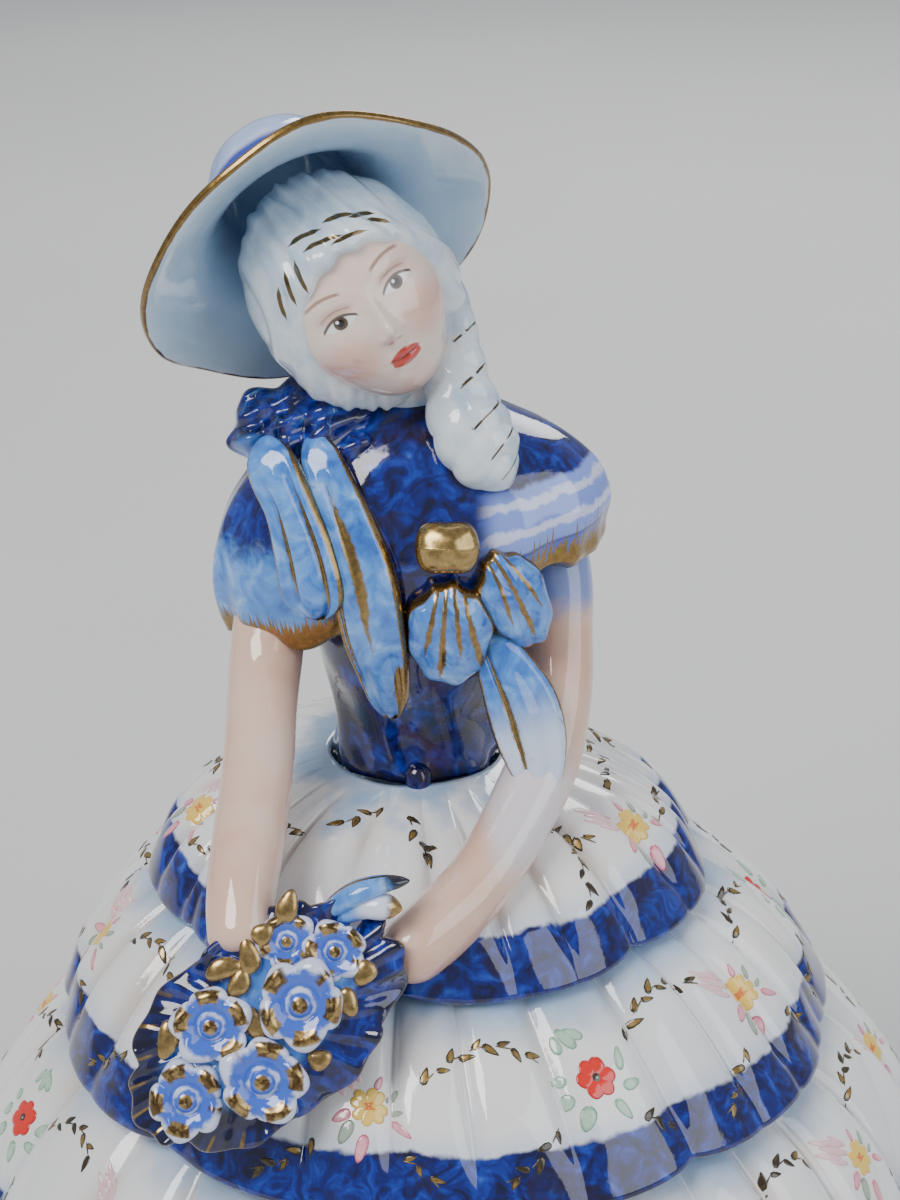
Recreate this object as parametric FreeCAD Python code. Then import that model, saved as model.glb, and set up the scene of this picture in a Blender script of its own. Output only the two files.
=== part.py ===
"""Slip-cast porcelain figurine of a lady in a four-flounce crinoline, holding a bouquet.

The figurine is made as such pieces are: every part is cast or pressed in its own mould, its
joint face is trimmed to the neighbour and stuck with slip, and the whole is glazed and fired as
one rigid body. Each part here is one closed solid. Parts meet face to face and share no volume.

Frame: +Z up, origin at the centre of the foot, the lady faces -Y. Her right is -X. Millimetres.
"""

import FreeCAD
import Part
import math
import os

V = FreeCAD.Vector

# ---- driving dimensions -------------------------------------------------------------------
WALL = 2.6                # drain-cast wall of the large hollow parts
STEPS = 96                # points round a skirt ring

# skirt: one value per flounce, from the waist down to the foot
WAIST_R = 12.5
HEM_R = [40.4, 57.4, 74.0, 86.6]
HEM_DROP = [18.2, 22.5, 28.7, 37.6]        # from the waist to a hem, then from hem to hem
TURN_IN = [5.4, 7.4, 7.0, 3.6]             # a flounce turns over this far inside its hem
TURN_UP = [15.2, 17.7, 20.4, 27.0]         # and this far above it
COLLAR_IN = [9.2, 8.9, 9.0]                # neck of a flounce, inside the hem over it
COLLAR_WALL = 2.4
COLLAR_BASE = 1.7                          # the neck starts this far above the hem over it
PLEATS = 24
PLEAT_DEPTH = 1.3
HEM_WALL = 2.6
LOBES = [7, 9, 10, 12]                     # shallow scallops of each hem
LOBE_TURN = [-44.0, -53.0, 21.0, 0.0]      # where one notch of each hem stands, degrees
LOBE_DEPTH = 1.6
LEAN_DROP = 47.0                           # from this far below the waist it leans to the trunk
PLUG_R = 4.0                               # spigot of the bodice in the top of the skirt
PLUG_LENGTH = 2.4
PLUG_CLEARANCE = 0.15
VENT_R = 1.5                               # firing vent, so that no hollow is sealed

# body: heights of the bust, the chest and the cape's hem are measured down from the neck
BODY_X = -5.0                              # the trunk stands this far to her right
TRUNK_HEIGHT = 53.0                        # from the waist to the neck
BUST_DROP = 24.0
CHEST_DROP = 14.0
CAPE_DROP = 26.0
WAIST_HALF = 11.4
BUST_HALF = 16.0
CHEST_HALF = 18.5
NECK_R = 6.0
CAPE_THICK = 3.0
CAPE_COVER = 21.1                          # half the cape, less the arm under it
CAPE_SLOPE = 0.24                          # the hem climbs towards her left

# head and hat
HEAD_SIDE = -7.6                           # centre of the head from the top of the trunk
HEAD_FORWARD = -6.0
HEAD_RISE = 17.0
HEAD_HALF = V(11.6, 15.6, 12.6)            # half width, half height, half depth
HAIR_GROW = 1.6
HEAD_ROLL = 33.5                           # leans to her right
HEAD_YAW = 12.0
HEAD_LIFT = 10.0                           # chin lifted
HAT_BACK = 43.0                            # hat tilted back from the top of the head
RIM_R = 24.8
CROWN_R = 9.6
CROWN_TOP = 20.0                           # top of the crown above the plane of the rim
CROWN_BASE = 12.0
BRIM_LIFT = 1.4                            # the front of the brim turned up
HAT_WALL = 1.8
HAT_TURN = -12.0                           # and turned a little upright over the brow
RIM_SIDE = -0.6                            # centre of the rim from the centre of the head
RIM_UP = 7.0
RIM_FORWARD = -1.6

# arms
ARM_R = 4.9
WRIST_R = 4.3
HAND_R = 5.6

# bouquet
BOUQUET_SIDE = -19.0                       # centre of the bouquet from the waist
BOUQUET_FORWARD = -48.0
BOUQUET_DROP = 16.2
BOUQUET_LONG = 20.5
BOUQUET_WIDE = 12.5
BOUQUET_TURN = 40.0                        # its long way climbs this much to her left
BOUQUET_LEAN = 24.0                        # and it leans back this much
FRILLS = 7
WRAPPER_BACK = 3.2
STALK_SEAT = 0.55                          # flat back of the leaf, as a share of its size
STALKS = 17.0                              # the bundle of stalks reaches this far behind
FLOWERS = [                                # along, across, height, radius
    (-14.0, -0.8, 2.2, 4.9),
    (-5.2, 4.6, 3.2, 4.9),
    (-4.6, -5.2, 3.4, 5.4),
    (5.6, -0.6, 3.8, 5.5),
    (9.2, 6.6, 1.8, 3.7),
    (13.2, 1.6, 2.0, 3.9),
]
PETALS = 5

# scarf, brooch, bow and sash
STRAP_THICK = 2.4
BROOCH_R = 4.2
LOOP_HALF = (5.8, 8.4, 3.6)
SIDE_LOOP_HALF = (4.6, 8.6, 3.2)

# ---- places that follow from them ---------------------------------------------------------
TIERS = len(HEM_R)
HEM_Z = [sum(HEM_DROP[tier + 1:]) for tier in range(TIERS)]
WAIST_Z = sum(HEM_DROP)
NECK_Z = WAIST_Z + TRUNK_HEIGHT
WAIST = V(BODY_X, 0, WAIST_Z)
NECK = V(BODY_X, 0, NECK_Z)
HEAD = NECK + V(HEAD_SIDE, HEAD_FORWARD, HEAD_RISE)
BOUQUET = WAIST + V(BOUQUET_SIDE, BOUQUET_FORWARD, -BOUQUET_DROP)


# ---- shapes -------------------------------------------------------------------------------
def loop(points):
    """A smooth closed wire through points."""
    curve = Part.BSplineCurve()
    curve.interpolate(Points=points, PeriodicFlag=True)
    return Part.Wire(curve.toShape())


def oval(centre, across, up, half_across, half_up, count=16, power=1.0):
    """A closed oval in the plane of two unit vectors; a power under 1 makes it squarer."""
    points = []
    for i in range(count):
        angle = 2 * math.pi * i / count
        c, s = math.cos(angle), math.sin(angle)
        a = math.copysign(abs(c) ** power, c) * half_across
        b = math.copysign(abs(s) ** power, s) * half_up
        points.append(centre + across * a + up * b)
    return loop(points)


def flat_oval(x, y, z, half_x, half_y, power=1.0):
    """An oval lying level at height z."""
    return oval(V(x, y, z), V(1, 0, 0), V(0, 1, 0), half_x, half_y, power=power)


def loft(wires, straight=False):
    """A closed solid through the wires, with flat ends; straight from ring to ring if asked."""
    return Part.makeLoft(wires, True, straight)


def band(first, second):
    """The straight-sided face between two rings."""
    return Part.makeRuledSurface(first.Edges[0], second.Edges[0])


def flat_band(outer, inner):
    """The flat face between two level rings."""
    return Part.makeFace([outer, inner], "Part::FaceMakerBullseye")


def sewn(faces):
    """One closed solid from faces that share their edges."""
    shell = Part.makeShell(faces)
    shell.sewShape()
    solid = Part.makeSolid(Part.Shell(shell.Faces))
    if solid.Volume < 0:
        solid.reverse()
    return solid


def biggest(shape):
    """The largest solid left after a cut."""
    return max(shape.Solids, key=lambda s: s.Volume)


def coped(piece, *others):
    """piece with its joint face trimmed to its neighbours."""
    for other in others:
        if piece.BoundBox.intersect(other.BoundBox):
            piece = biggest(piece.cut(other))
    return piece


def along(origin, offsets):
    """Points at offsets from an origin."""
    return [origin + V(*offset) for offset in offsets]


def limb(path, radii, flatten=1.0, side=V(1, 0, 0)):
    """A tapered round limb along points, each section square to the path."""
    wires = []
    for i, point in enumerate(path):
        ahead = path[min(i + 1, len(path) - 1)] - path[max(i - 1, 0)]
        ahead.normalize()
        up = ahead.cross(side)
        up.normalize()
        across = up.cross(ahead)
        across.normalize()
        wires.append(oval(point, across, up, radii[i], radii[i] * flatten))
    return loft(wires)


def frame(origin, across, up):
    """A placement whose local X is across and local Y is up, as near as it can be."""
    across = V(across)
    across.normalize()
    out = across.cross(up)
    out.normalize()
    up = out.cross(across)
    return FreeCAD.Placement(
        FreeCAD.Matrix(
            across.x, up.x, out.x, origin.x,
            across.y, up.y, out.y, origin.y,
            across.z, up.z, out.z, origin.z,
            0, 0, 0, 1,
        )
    )


def placed(shape, placement):
    """A copy of shape moved by placement."""
    return shape.transformed(placement.Matrix, True)


# ---- skirt --------------------------------------------------------------------------------
def curve_point(ends, u):
    """A point of the section curve of a flounce: neck, shoulder and hem as one smooth bend."""
    (r0, z0), (r1, z1), (r2, z2) = ends
    a, b, c = (1 - u) ** 2, 2 * u * (1 - u), u * u
    return a * r0 + b * r1 + c * r2, a * z0 + b * z1 + c * z2


def curve_normal(ends, u):
    """The outward normal of that section."""
    r0, z0 = curve_point(ends, max(u - 0.01, 0.0))
    r1, z1 = curve_point(ends, min(u + 0.01, 1.0))
    length = math.hypot(r1 - r0, z1 - z0)
    return (z0 - z1) / length, (r1 - r0) / length


def under_z(ends, radius):
    """Height of the underside of a flounce at a radius."""
    low, high = 0.0, 1.0
    for _ in range(40):
        u = (low + high) / 2
        r, z = curve_point(ends, u)
        nr, nz = curve_normal(ends, u)
        low, high = (u, high) if r - nr * WALL < radius else (low, u)
    return z - nz * WALL


def shift(z):
    """The upper skirt leans towards the trunk; the lower flounces stand square."""
    return BODY_X * max(0.0, 1.0 - (WAIST_Z - z) / LEAN_DROP)


def ring(radius, z):
    """A plain level ring of the skirt."""
    points = []
    for i in range(STEPS):
        angle = 2 * math.pi * i / STEPS
        points.append(V(radius * math.cos(angle) + shift(z), radius * math.sin(angle), z))
    return loop(points)


def pleated_ring(ends, tier, u):
    """A ring of the outside of a flounce, waved by the pleats and the scallops of its hem."""
    r0, z0 = curve_point(ends, u)
    nr, nz = curve_normal(ends, u) if u < 1.0 else (1.0, 0.0)
    points = []
    for i in range(STEPS):
        angle = 2 * math.pi * i / STEPS
        notch = abs(math.sin(LOBES[tier] * (angle - math.radians(LOBE_TURN[tier])) / 2))
        out = PLEAT_DEPTH * math.sin(math.pi * u / 2) * (0.5 - 0.5 * math.cos(PLEATS * angle))
        out += LOBE_DEPTH * u * u * (notch - 0.64)
        r, z = r0 + nr * out, z0 + nz * out
        points.append(V(r * math.cos(angle) + shift(z0), r * math.sin(angle), z))
    return loop(points)


def section(tier):
    """Neck, shoulder and hem of one flounce."""
    if tier == 0:
        neck = (WAIST_R, WAIST_Z)
    else:
        neck = (HEM_R[tier - 1] - COLLAR_IN[tier - 1], HEM_Z[tier - 1] + COLLAR_BASE)
    turn = (HEM_R[tier] - TURN_IN[tier], HEM_Z[tier] + TURN_UP[tier])
    return [neck, turn, (HEM_R[tier], HEM_Z[tier])]


def flounce(tier):
    """One pleated flounce of the skirt: a bell shell with a plain neck and a rippled hem."""
    ends = section(tier)
    outer = [pleated_ring(ends, tier, u) for u in (0.0, 0.2, 0.4, 0.6, 0.8, 1.0)]
    inner = []
    for u in (1.0, 0.8, 0.6, 0.45):
        r, z = curve_point(ends, u)
        nr, nz = curve_normal(ends, u) if u < 1.0 else (1.0, 0.0)
        wall = HEM_WALL if u == 1.0 else WALL
        inner.append((r - nr * wall, z - nz * wall))
    if tier < TIERS - 1:
        seat = HEM_R[tier] - COLLAR_IN[tier]
        cut = [(r, z) for r, z in inner if r > seat + 1.0]
        inner = cut + [(seat, under_z(ends, seat)),
                       (seat - COLLAR_WALL, under_z(ends, seat - COLLAR_WALL))]
    neck_r, neck_z = ends[0]
    if tier == 0:
        top_in = PLUG_R
        inner += [(neck_r + 4.0, under_z(ends, neck_r + 4.0)), (top_in, neck_z - WALL)]
        collar = []
        top = (top_in, neck_z)
    else:
        above = section(tier - 1)
        collar = [(neck_r, under_z(above, neck_r))]
        inner += [(neck_r - COLLAR_WALL, neck_z)]
        top = (neck_r - COLLAR_WALL, under_z(above, neck_r - COLLAR_WALL))
    rings = [outer[-1]] + [ring(r, z) for r, z in inner + [top] + collar] + [outer[0]]
    faces = list(Part.makeLoft(outer, False, False).Faces)
    faces.append(flat_band(rings[0], rings[1]))
    faces += [band(a, b) for a, b in zip(rings[1:], rings[2:])]
    return sewn(faces)


# ---- body ---------------------------------------------------------------------------------
def trunk(grow=0.0, low=WAIST_Z, high=NECK_Z):
    """The trunk from waist to neck, grown by a margin."""
    rows = [
        (WAIST_Z, 0.0, WAIST_R - 0.6, 10.8),
        (WAIST_Z + 8, -0.4, WAIST_HALF, 9.6),
        (WAIST_Z + 17, -1.0, 13.6, 11.4),
        (NECK_Z - BUST_DROP, -2.6, BUST_HALF, 13.2),
        (NECK_Z - CHEST_DROP, -1.4, CHEST_HALF, 12.0),
        (NECK_Z - 6, 0.2, 15.0, 9.4),
        (NECK_Z, 0.5, NECK_R + 2.2, NECK_R + 1.4),
    ]
    return loft([
        flat_oval(BODY_X, y, z, half_x + grow, half_y + grow)
        for z, y, half_x, half_y in rows if low <= z <= high
    ])


def bodice():
    """Hollow trunk with a spigot that registers in the skirt and a vent through it."""
    hollow = trunk(-WALL, WAIST_Z + 8, NECK_Z - 6)
    plug_top = V(BODY_X, 0, WAIST_Z - PLUG_LENGTH)
    plug = Part.makeCylinder(PLUG_R - PLUG_CLEARANCE, PLUG_LENGTH + 1, plug_top)
    vent = Part.makeCylinder(VENT_R, PLUG_LENGTH + 14, plug_top)
    return biggest(trunk().fuse(plug).cut(hollow).cut(vent))


def arm(side):
    """One bare arm with its hand, from inside the cape to the bouquet."""
    if side < 0:
        upper = [(-17.0, 0, -16), (-19.6, -3, -26), (-20.6, -8, -35)]
        lower = [(-21.0, -14, 13), (-21.0, -23, 7), (-21.8, -32, 1.6), (-22.4, -39.5, -3.4),
                 (-21.4, -44.6, -8)]
        radii = [5.0, ARM_R, ARM_R, ARM_R, ARM_R, ARM_R, WRIST_R + 0.3, WRIST_R - 1.2]
    else:
        upper = [(16.5, 1, -14), (19.8, -1.5, -24), (20.2, -5, -33)]
        lower = [(19.9, -9, 13), (18.2, -15, 5.8), (14.6, -22, 0.6), (9.8, -30, -4),
                 (3.8, -36.6, -8.2), (-3.0, -41.5, -12.2)]
        radii = [5.0, ARM_R, ARM_R, ARM_R, ARM_R, WRIST_R + 0.3, WRIST_R + 0.6, HAND_R,
                 HAND_R - 2.0]
    return limb(along(NECK, upper) + along(WAIST, lower), radii)


def cape():
    """Short cape over both shoulders, before it is trimmed to the trunk and the arms."""
    hem_z = NECK_Z - CAPE_DROP
    half = CAPE_COVER + ARM_R
    rows = [
        (-1.0, hem_z, half, 14.2, CAPE_SLOPE),
        (-1.2, hem_z + 5.5, half + 1.2, 15.6, CAPE_SLOPE * 0.8),
        (-1.2, NECK_Z - CHEST_DROP - 1, half + 0.6, 15.4, CAPE_SLOPE * 0.6),
        (-0.2, NECK_Z - 7.5, 22.5, 13.2, CAPE_SLOPE * 0.35),
        (0.2, NECK_Z - 2.6, 14.5, 10.4, CAPE_SLOPE * 0.15),
        (0.5, NECK_Z, NECK_R + 3.6, NECK_R + 2.6, 0.0),
    ]
    return loft([
        oval(V(BODY_X, y, z), V(1, 0, slope), V(0, 1, 0), half_x, half_y)
        for y, z, half_x, half_y, slope in rows
    ])


def cape_hollow():
    """Space under the cape that the trunk and the upper arms stand in."""
    hem_z = NECK_Z - CAPE_DROP
    half = CAPE_COVER + ARM_R - CAPE_THICK
    rows = [
        (-0.6, hem_z - 1.0, half, 13.0, CAPE_SLOPE),
        (-0.8, hem_z + 5.5, half, 13.0, CAPE_SLOPE * 0.8),
        (-0.6, NECK_Z - CHEST_DROP + 2, half - 5.0, 12.0, CAPE_SLOPE * 0.5),
    ]
    return loft([
        oval(V(BODY_X, y, z), V(1, 0, slope), V(0, 1, 0), half_x, half_y)
        for y, z, half_x, half_y, slope in rows
    ])


# ---- head and hat -------------------------------------------------------------------------
def head_frame():
    """Local X to the viewer's right across the face, Y up the face, Z out of the face."""
    yaw, lift, roll = (math.radians(a) for a in (HEAD_YAW, HEAD_LIFT, HEAD_ROLL))
    out = V(math.sin(yaw) * math.cos(lift), -math.cos(yaw) * math.cos(lift), math.sin(lift))
    level = V(0, 0, 1).cross(out)
    level.normalize()
    upright = out.cross(level)
    up = upright * math.cos(roll) - level * math.sin(roll)
    return frame(HEAD, up.cross(out), up)


def egg(half):
    """An ellipsoid about the origin."""
    stretch = FreeCAD.Matrix()
    stretch.scale(half.x, half.y, half.z)
    return Part.makeSphere(1.0).transformGeometry(stretch)


def neck_solid():
    """Neck from the trunk up into the head."""
    return loft([
        flat_oval(BODY_X - 0.2, 0.5, NECK_Z, NECK_R, NECK_R),
        flat_oval(BODY_X - 1.8, -0.6, NECK_Z + 5, NECK_R - 0.6, NECK_R - 0.4),
        flat_oval(BODY_X - 5.0, -2.0, NECK_Z + 11, NECK_R - 0.4, NECK_R - 0.2),
    ])


def head():
    """Hollow head with its hair and neck in one casting."""
    place = head_frame()
    face = placed(egg(HEAD_HALF), place)
    back = FreeCAD.Placement(V(0, 1.0, -3.0), FreeCAD.Rotation())
    hair = placed(egg(HEAD_HALF + V(HAIR_GROW, HAIR_GROW, -0.5)), place.multiply(back))
    inside = placed(egg(HEAD_HALF - V(WALL, WALL + 1.0, WALL + 1.0)), place)
    vent = Part.makeCylinder(VENT_R, 20.0, NECK + V(-1.5, -0.5, -4.0))
    return biggest(face.fuse([hair, neck_solid()]).cut(inside).cut(vent))


def hat_frame():
    """Local Z runs up the crown from the centre of the rim."""
    tilt = FreeCAD.Rotation(V(0, 0, 1), HAT_TURN).multiply(
        FreeCAD.Rotation(V(1, 0, 0), -90 - HAT_BACK))
    return head_frame().multiply(FreeCAD.Placement(V(RIM_SIDE, RIM_UP, RIM_FORWARD), tilt))


def hat_ring(radius, height, share):
    """A ring of the hat; share is how far it takes part in the lift of the front brim."""
    place = hat_frame()
    points = []
    for i in range(48):
        angle = 2 * math.pi * i / 48
        lift = BRIM_LIFT * share * max(0.0, -math.sin(angle)) ** 2
        flat = V(radius * math.cos(angle), radius * math.sin(angle), height + lift)
        points.append(place.multVec(flat))
    return loop(points)


def hat():
    """Sun hat in one thin casting: a small domed crown and a wide flared brim, up in front."""
    outer = [(2.5, CROWN_TOP, 0.0), (CROWN_R - 3.0, CROWN_TOP - 1.4, 0.0),
             (CROWN_R, CROWN_TOP - 5.5, 0.0), (CROWN_R + 0.8, CROWN_BASE, 0.0),
             (CROWN_R + 5.0, 7.6, 0.15), (RIM_R - 5.6, 3.4, 0.6), (RIM_R, 0.0, 1.0)]
    inner = [(RIM_R - 0.6, -1.2, 1.0), (RIM_R - 6.8, 1.8, 0.6), (CROWN_R + 3.4, 5.8, 0.15),
             (CROWN_R - 1.0, CROWN_BASE - 1.0, 0.0), (CROWN_R - HAT_WALL, CROWN_TOP - 6.5, 0.0),
             (CROWN_R - 4.4, CROWN_TOP - 3.2, 0.0), (2.0, CROWN_TOP - HAT_WALL, 0.0)]
    outside = [hat_ring(*row) for row in outer]
    inside = [hat_ring(*row) for row in inner]
    faces = list(Part.makeLoft(outside, False, False).Faces)
    faces += list(Part.makeLoft(inside, False, False).Faces)
    faces += [band(outside[-1], inside[0]), Part.Face(outside[0]), Part.Face(inside[-1])]
    return sewn(faces)


def braid():
    """Heavy plait over her left shoulder, thickest just above its blunt tip."""
    path = [(4.4, 2.5, 17.0), (5.6, -3.0, 11.5), (5.6, -7.4, 6.0), (7.2, -10.4, 0.6),
            (10.0, -12.0, -4.0), (12.6, -12.0, -7.6)]
    return limb(along(NECK, path), [2.6, 3.4, 4.2, 5.2, 4.8, 2.2], flatten=0.8)


# ---- scarf, bow and sash ------------------------------------------------------------------
def cushion(place, half_wide, half_long, high, ripples=0, depth=0.0, below=1.5):
    """A low waved mound on the XY plane of a placement, with a flat base below it."""
    rings = [(0.86, -below), (1.0, 0.0), (0.96, high * 0.45), (0.74, high * 0.85), (0.3, high)]
    wires = []
    for scale, height in rings:
        points = []
        for i in range(48):
            angle = 2 * math.pi * i / 48
            wave = 1.0 + depth * math.cos(ripples * angle)
            x = scale * wave * half_wide * math.cos(angle)
            y = scale * wave * half_long * math.sin(angle)
            points.append(place.multVec(V(x, y, height)))
        wires.append(loop(points))
    return loft(wires, straight=True)


def strap(path, half_widths, across, thick=STRAP_THICK):
    """A flat tongue of cloth along points; across is the way its width runs."""
    wires = []
    for i, point in enumerate(path):
        ahead = path[min(i + 1, len(path) - 1)] - path[max(i - 1, 0)]
        out = ahead.cross(across)
        out.normalize()
        wide = out.cross(ahead)
        wide.normalize()
        wires.append(oval(point, wide, out, half_widths[i], thick / 2 + 0.4, power=0.8))
    return loft(wires, straight=True)


def neck_ruffle():
    """Crumpled collar standing up on her right side of the neck."""
    place = frame(NECK + V(-14.4, -4.0, -3.8), V(0.96, -0.20, -0.12), V(0.1, 0.35, 0.93))
    return cushion(place, 10.4, 7.4, 6.2, ripples=7, depth=0.07, below=5.0)


def scarf_outer():
    """Short doubled end of the scarf, with a round bottom."""
    path = [(-19.4, -9.5, -2.4), (-17.6, -12.6, -6.8), (-15.0, -14.6, -11.6),
            (-13.6, -16.0, -17.0), (-12.8, -16.8, -21.8), (-12.6, -16.8, -25.0)]
    return strap(along(NECK, path), [3.4, 3.2, 3.3, 3.8, 3.9, 2.4], V(1, -0.35, 0))


def scarf_inner():
    """Long end of the scarf, ending in a turned-up point over the waist."""
    path = [(-12.6, -9.4, -3.0), (-10.6, -13.0, -8.0), (-8.2, -15.6, -13.0),
            (-6.2, -17.4, -19.0), (-5.2, -18.0, -27.0), (-3.6, -16.8, -35.0),
            (-2.6, -14.8, -40.4)]
    return strap(along(NECK, path), [3.0, 3.4, 4.0, 4.4, 4.4, 3.6, 2.0], V(1, -0.12, 0.1))


def brooch():
    """Domed brooch that the bow hangs from."""
    place = frame(NECK + V(4.4, -16.6, -15.0), V(1, 0, 0), V(0, 0.30, 0.95))
    return cushion(place, BROOCH_R + 0.2, BROOCH_R - 0.8, 3.2, ripples=6, depth=0.03, below=3.0)


def bow_loop():
    """Gathered loop of the bow hanging under the brooch."""
    place = frame(NECK + V(4.9, -16.6, -27.0), V(1, 0, 0), V(0, -0.08, 1.0))
    wide, long, high = LOOP_HALF
    return cushion(place, wide, long, high, ripples=9, depth=0.035, below=3.6)


def bow_loop_side():
    """Second loop of the bow, swung out over her left breast."""
    place = frame(NECK + V(13.2, -14.2, -22.8), V(0.80, 0.42, 0.42), V(-0.55, -0.16, 0.82))
    wide, long, high = SIDE_LOOP_HALF
    return cushion(place, wide, long, high, ripples=9, depth=0.035, below=3.6)


def sash():
    """Loose end of the sash, hanging from the bow over her left forearm."""
    upper = [(10.6, -15.2, -29.0), (13.0, -16.6, -33.0), (15.0, -17.6, -38.0)]
    lower = [(16.4, -18.6, 10.0), (17.0, -19.6, 5.6), (16.8, -20.2, 2.0)]
    path = along(NECK, upper) + along(WAIST, lower)
    return strap(path, [2.6, 3.8, 4.9, 4.8, 3.4, 1.4], V(1, 0.10, 0))


# ---- bouquet ------------------------------------------------------------------------------
def bouquet_frame():
    """Local X along the bouquet, Y across it, Z out of its face."""
    turn, lean = math.radians(BOUQUET_TURN), math.radians(BOUQUET_LEAN)
    rise = V(0, math.sin(lean), math.cos(lean))
    along = V(math.cos(turn), 0, 0) + rise * math.sin(turn)
    across = rise * math.cos(turn) - V(math.sin(turn), 0, 0)
    return frame(BOUQUET, along, across)


def bouquet_wrapper():
    """Frilled cobalt leaf that carries the flowers; flat behind, where the stalks join."""
    place = bouquet_frame()
    rings = [(STALK_SEAT, -WRAPPER_BACK, 0.0), (0.86, -1.8, 0.5), (1.0, -0.2, 1.0),
             (0.99, 1.4, 1.0), (0.75, 1.9, 0.4), (0.4, 2.4, 0.0)]
    wires = []
    for scale, height, frill in rings:
        points = []
        for i in range(72):
            angle = 2 * math.pi * i / 72
            wave = 1.0 + 0.075 * frill * math.cos(FRILLS * angle)
            dip = -1.2 * frill * math.sin(FRILLS * angle)
            x = BOUQUET_LONG * scale * wave * math.cos(angle)
            y = BOUQUET_WIDE * scale * wave * math.sin(angle)
            points.append(place.multVec(V(x, y, height + dip)))
        wires.append(loop(points))
    return loft(wires, straight=True)


def bouquet_stalks():
    """Bundle of stalks that props the bouquet off the skirt, set flat on the leaf's back."""
    place = bouquet_frame()
    wires = []
    for height, radius in ((WRAPPER_BACK, 0.9), (STALKS / 2, 0.8), (STALKS, 0.7)):
        centre = place.multVec(V(0, 0, -height))
        along = place.multVec(V(1, 0, -height)) - centre
        across = place.multVec(V(0, 1, -height)) - centre
        half = radius * STALK_SEAT * BOUQUET_WIDE
        wires.append(oval(centre, along, across, half, half))
    return loft(wires)


def flower(index):
    """One five-petalled flower with a bead in the middle."""
    along, across, height, radius = FLOWERS[index]
    place = bouquet_frame()
    rings = [(0.5, -3.0, 0.0), (0.92, -0.6, 0.7), (1.0, 0.5, 1.0), (0.7, 1.1, 0.5),
             (0.38, 0.7, 0.0)]
    wires = []
    for scale, rise, petal in rings:
        points = []
        for i in range(40):
            angle = 2 * math.pi * i / 40
            wave = 1.0 + 0.09 * petal * math.cos(PETALS * angle + index)
            x = along + radius * scale * wave * math.cos(angle)
            y = across + radius * scale * wave * math.sin(angle)
            points.append(place.multVec(V(x, y, height + rise)))
        wires.append(loop(points))
    bead = Part.makeSphere(radius * 0.26, place.multVec(V(along, across, height + 0.9)))
    return biggest(loft(wires, straight=True).fuse(bead))


def bud():
    """Sprig at the top of the bouquet: a leaf and a bud."""
    leaf = limb(along(BOUQUET, [(8.0, 5.6, 13.8), (11.4, 5.4, 16.6), (15.0, 5.4, 17.8),
                                (18.4, 5.6, 18.1)]),
                [1.0, 2.0, 1.5, 0.6], flatten=0.7, side=V(0, 1, 0))
    stem = limb(along(BOUQUET, [(9.5, 5.6, 13.2), (13.0, 5.2, 14.6), (15.4, 5.0, 14.8)]),
                [1.2, 1.3, 1.2], side=V(0, 1, 0))
    bead = Part.makeSphere(1.9, BOUQUET + V(16.4, 4.8, 14.8))
    return biggest(leaf.fuse([stem, bead]))


# ---- write --------------------------------------------------------------------------------
def build():
    """Every sub-part by node name."""
    made = {}
    for tier in range(TIERS):
        made["skirt_flounce_%d" % (tier + 1)] = flounce(tier)
    body = bodice()
    made["bodice"] = body
    solid_trunk = trunk()
    for name, side in (("right_arm", -1), ("left_arm", 1)):
        made[name] = coped(arm(side), solid_trunk, made["skirt_flounce_1"])
    made["head"] = head()
    made["hat"] = coped(hat(), made["head"])
    made["shoulder_cape"] = coped(
        cape().cut(cape_hollow()), solid_trunk, made["right_arm"], made["left_arm"],
        made["head"], made["hat"])
    upper = [solid_trunk, made["shoulder_cape"], made["right_arm"], made["left_arm"],
             made["head"], made["hat"]]
    for name, make in (
        ("braid", braid), ("scarf_inner", scarf_inner), ("scarf_outer", scarf_outer),
        ("neck_ruffle", neck_ruffle), ("brooch", brooch), ("bow_loop", bow_loop),
        ("bow_loop_side", bow_loop_side), ("sash", sash),
    ):
        made[name] = coped(make(), *upper)
        upper.append(made[name])
    lower = [made[n] for n in ("skirt_flounce_1", "skirt_flounce_2", "right_arm", "left_arm")]
    made["bouquet_wrapper"] = coped(bouquet_wrapper(), *lower)
    made["bouquet_stalks"] = coped(bouquet_stalks(), *lower)
    lower += [made["bouquet_wrapper"], made["bouquet_stalks"]]
    for index in range(len(FLOWERS)):
        name = "flower_%d" % (index + 1)
        made[name] = coped(flower(index), *lower)
        lower.append(made[name])
    made["bouquet_bud"] = coped(bud(), *lower)
    return made


if __name__ == "__main__":
    os.makedirs("parts", exist_ok=True)
    for name, shape in build().items():
        shape.exportStep("parts/%s.step" % name)
        print(name, shape.ShapeType, shape.isValid(), round(shape.Volume / 1000, 3), "cm3",
              [round(v, 1) for v in (shape.BoundBox.XMin, shape.BoundBox.XMax,
                                     shape.BoundBox.YMin, shape.BoundBox.YMax,
                                     shape.BoundBox.ZMin, shape.BoundBox.ZMax)])
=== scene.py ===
import math

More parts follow.
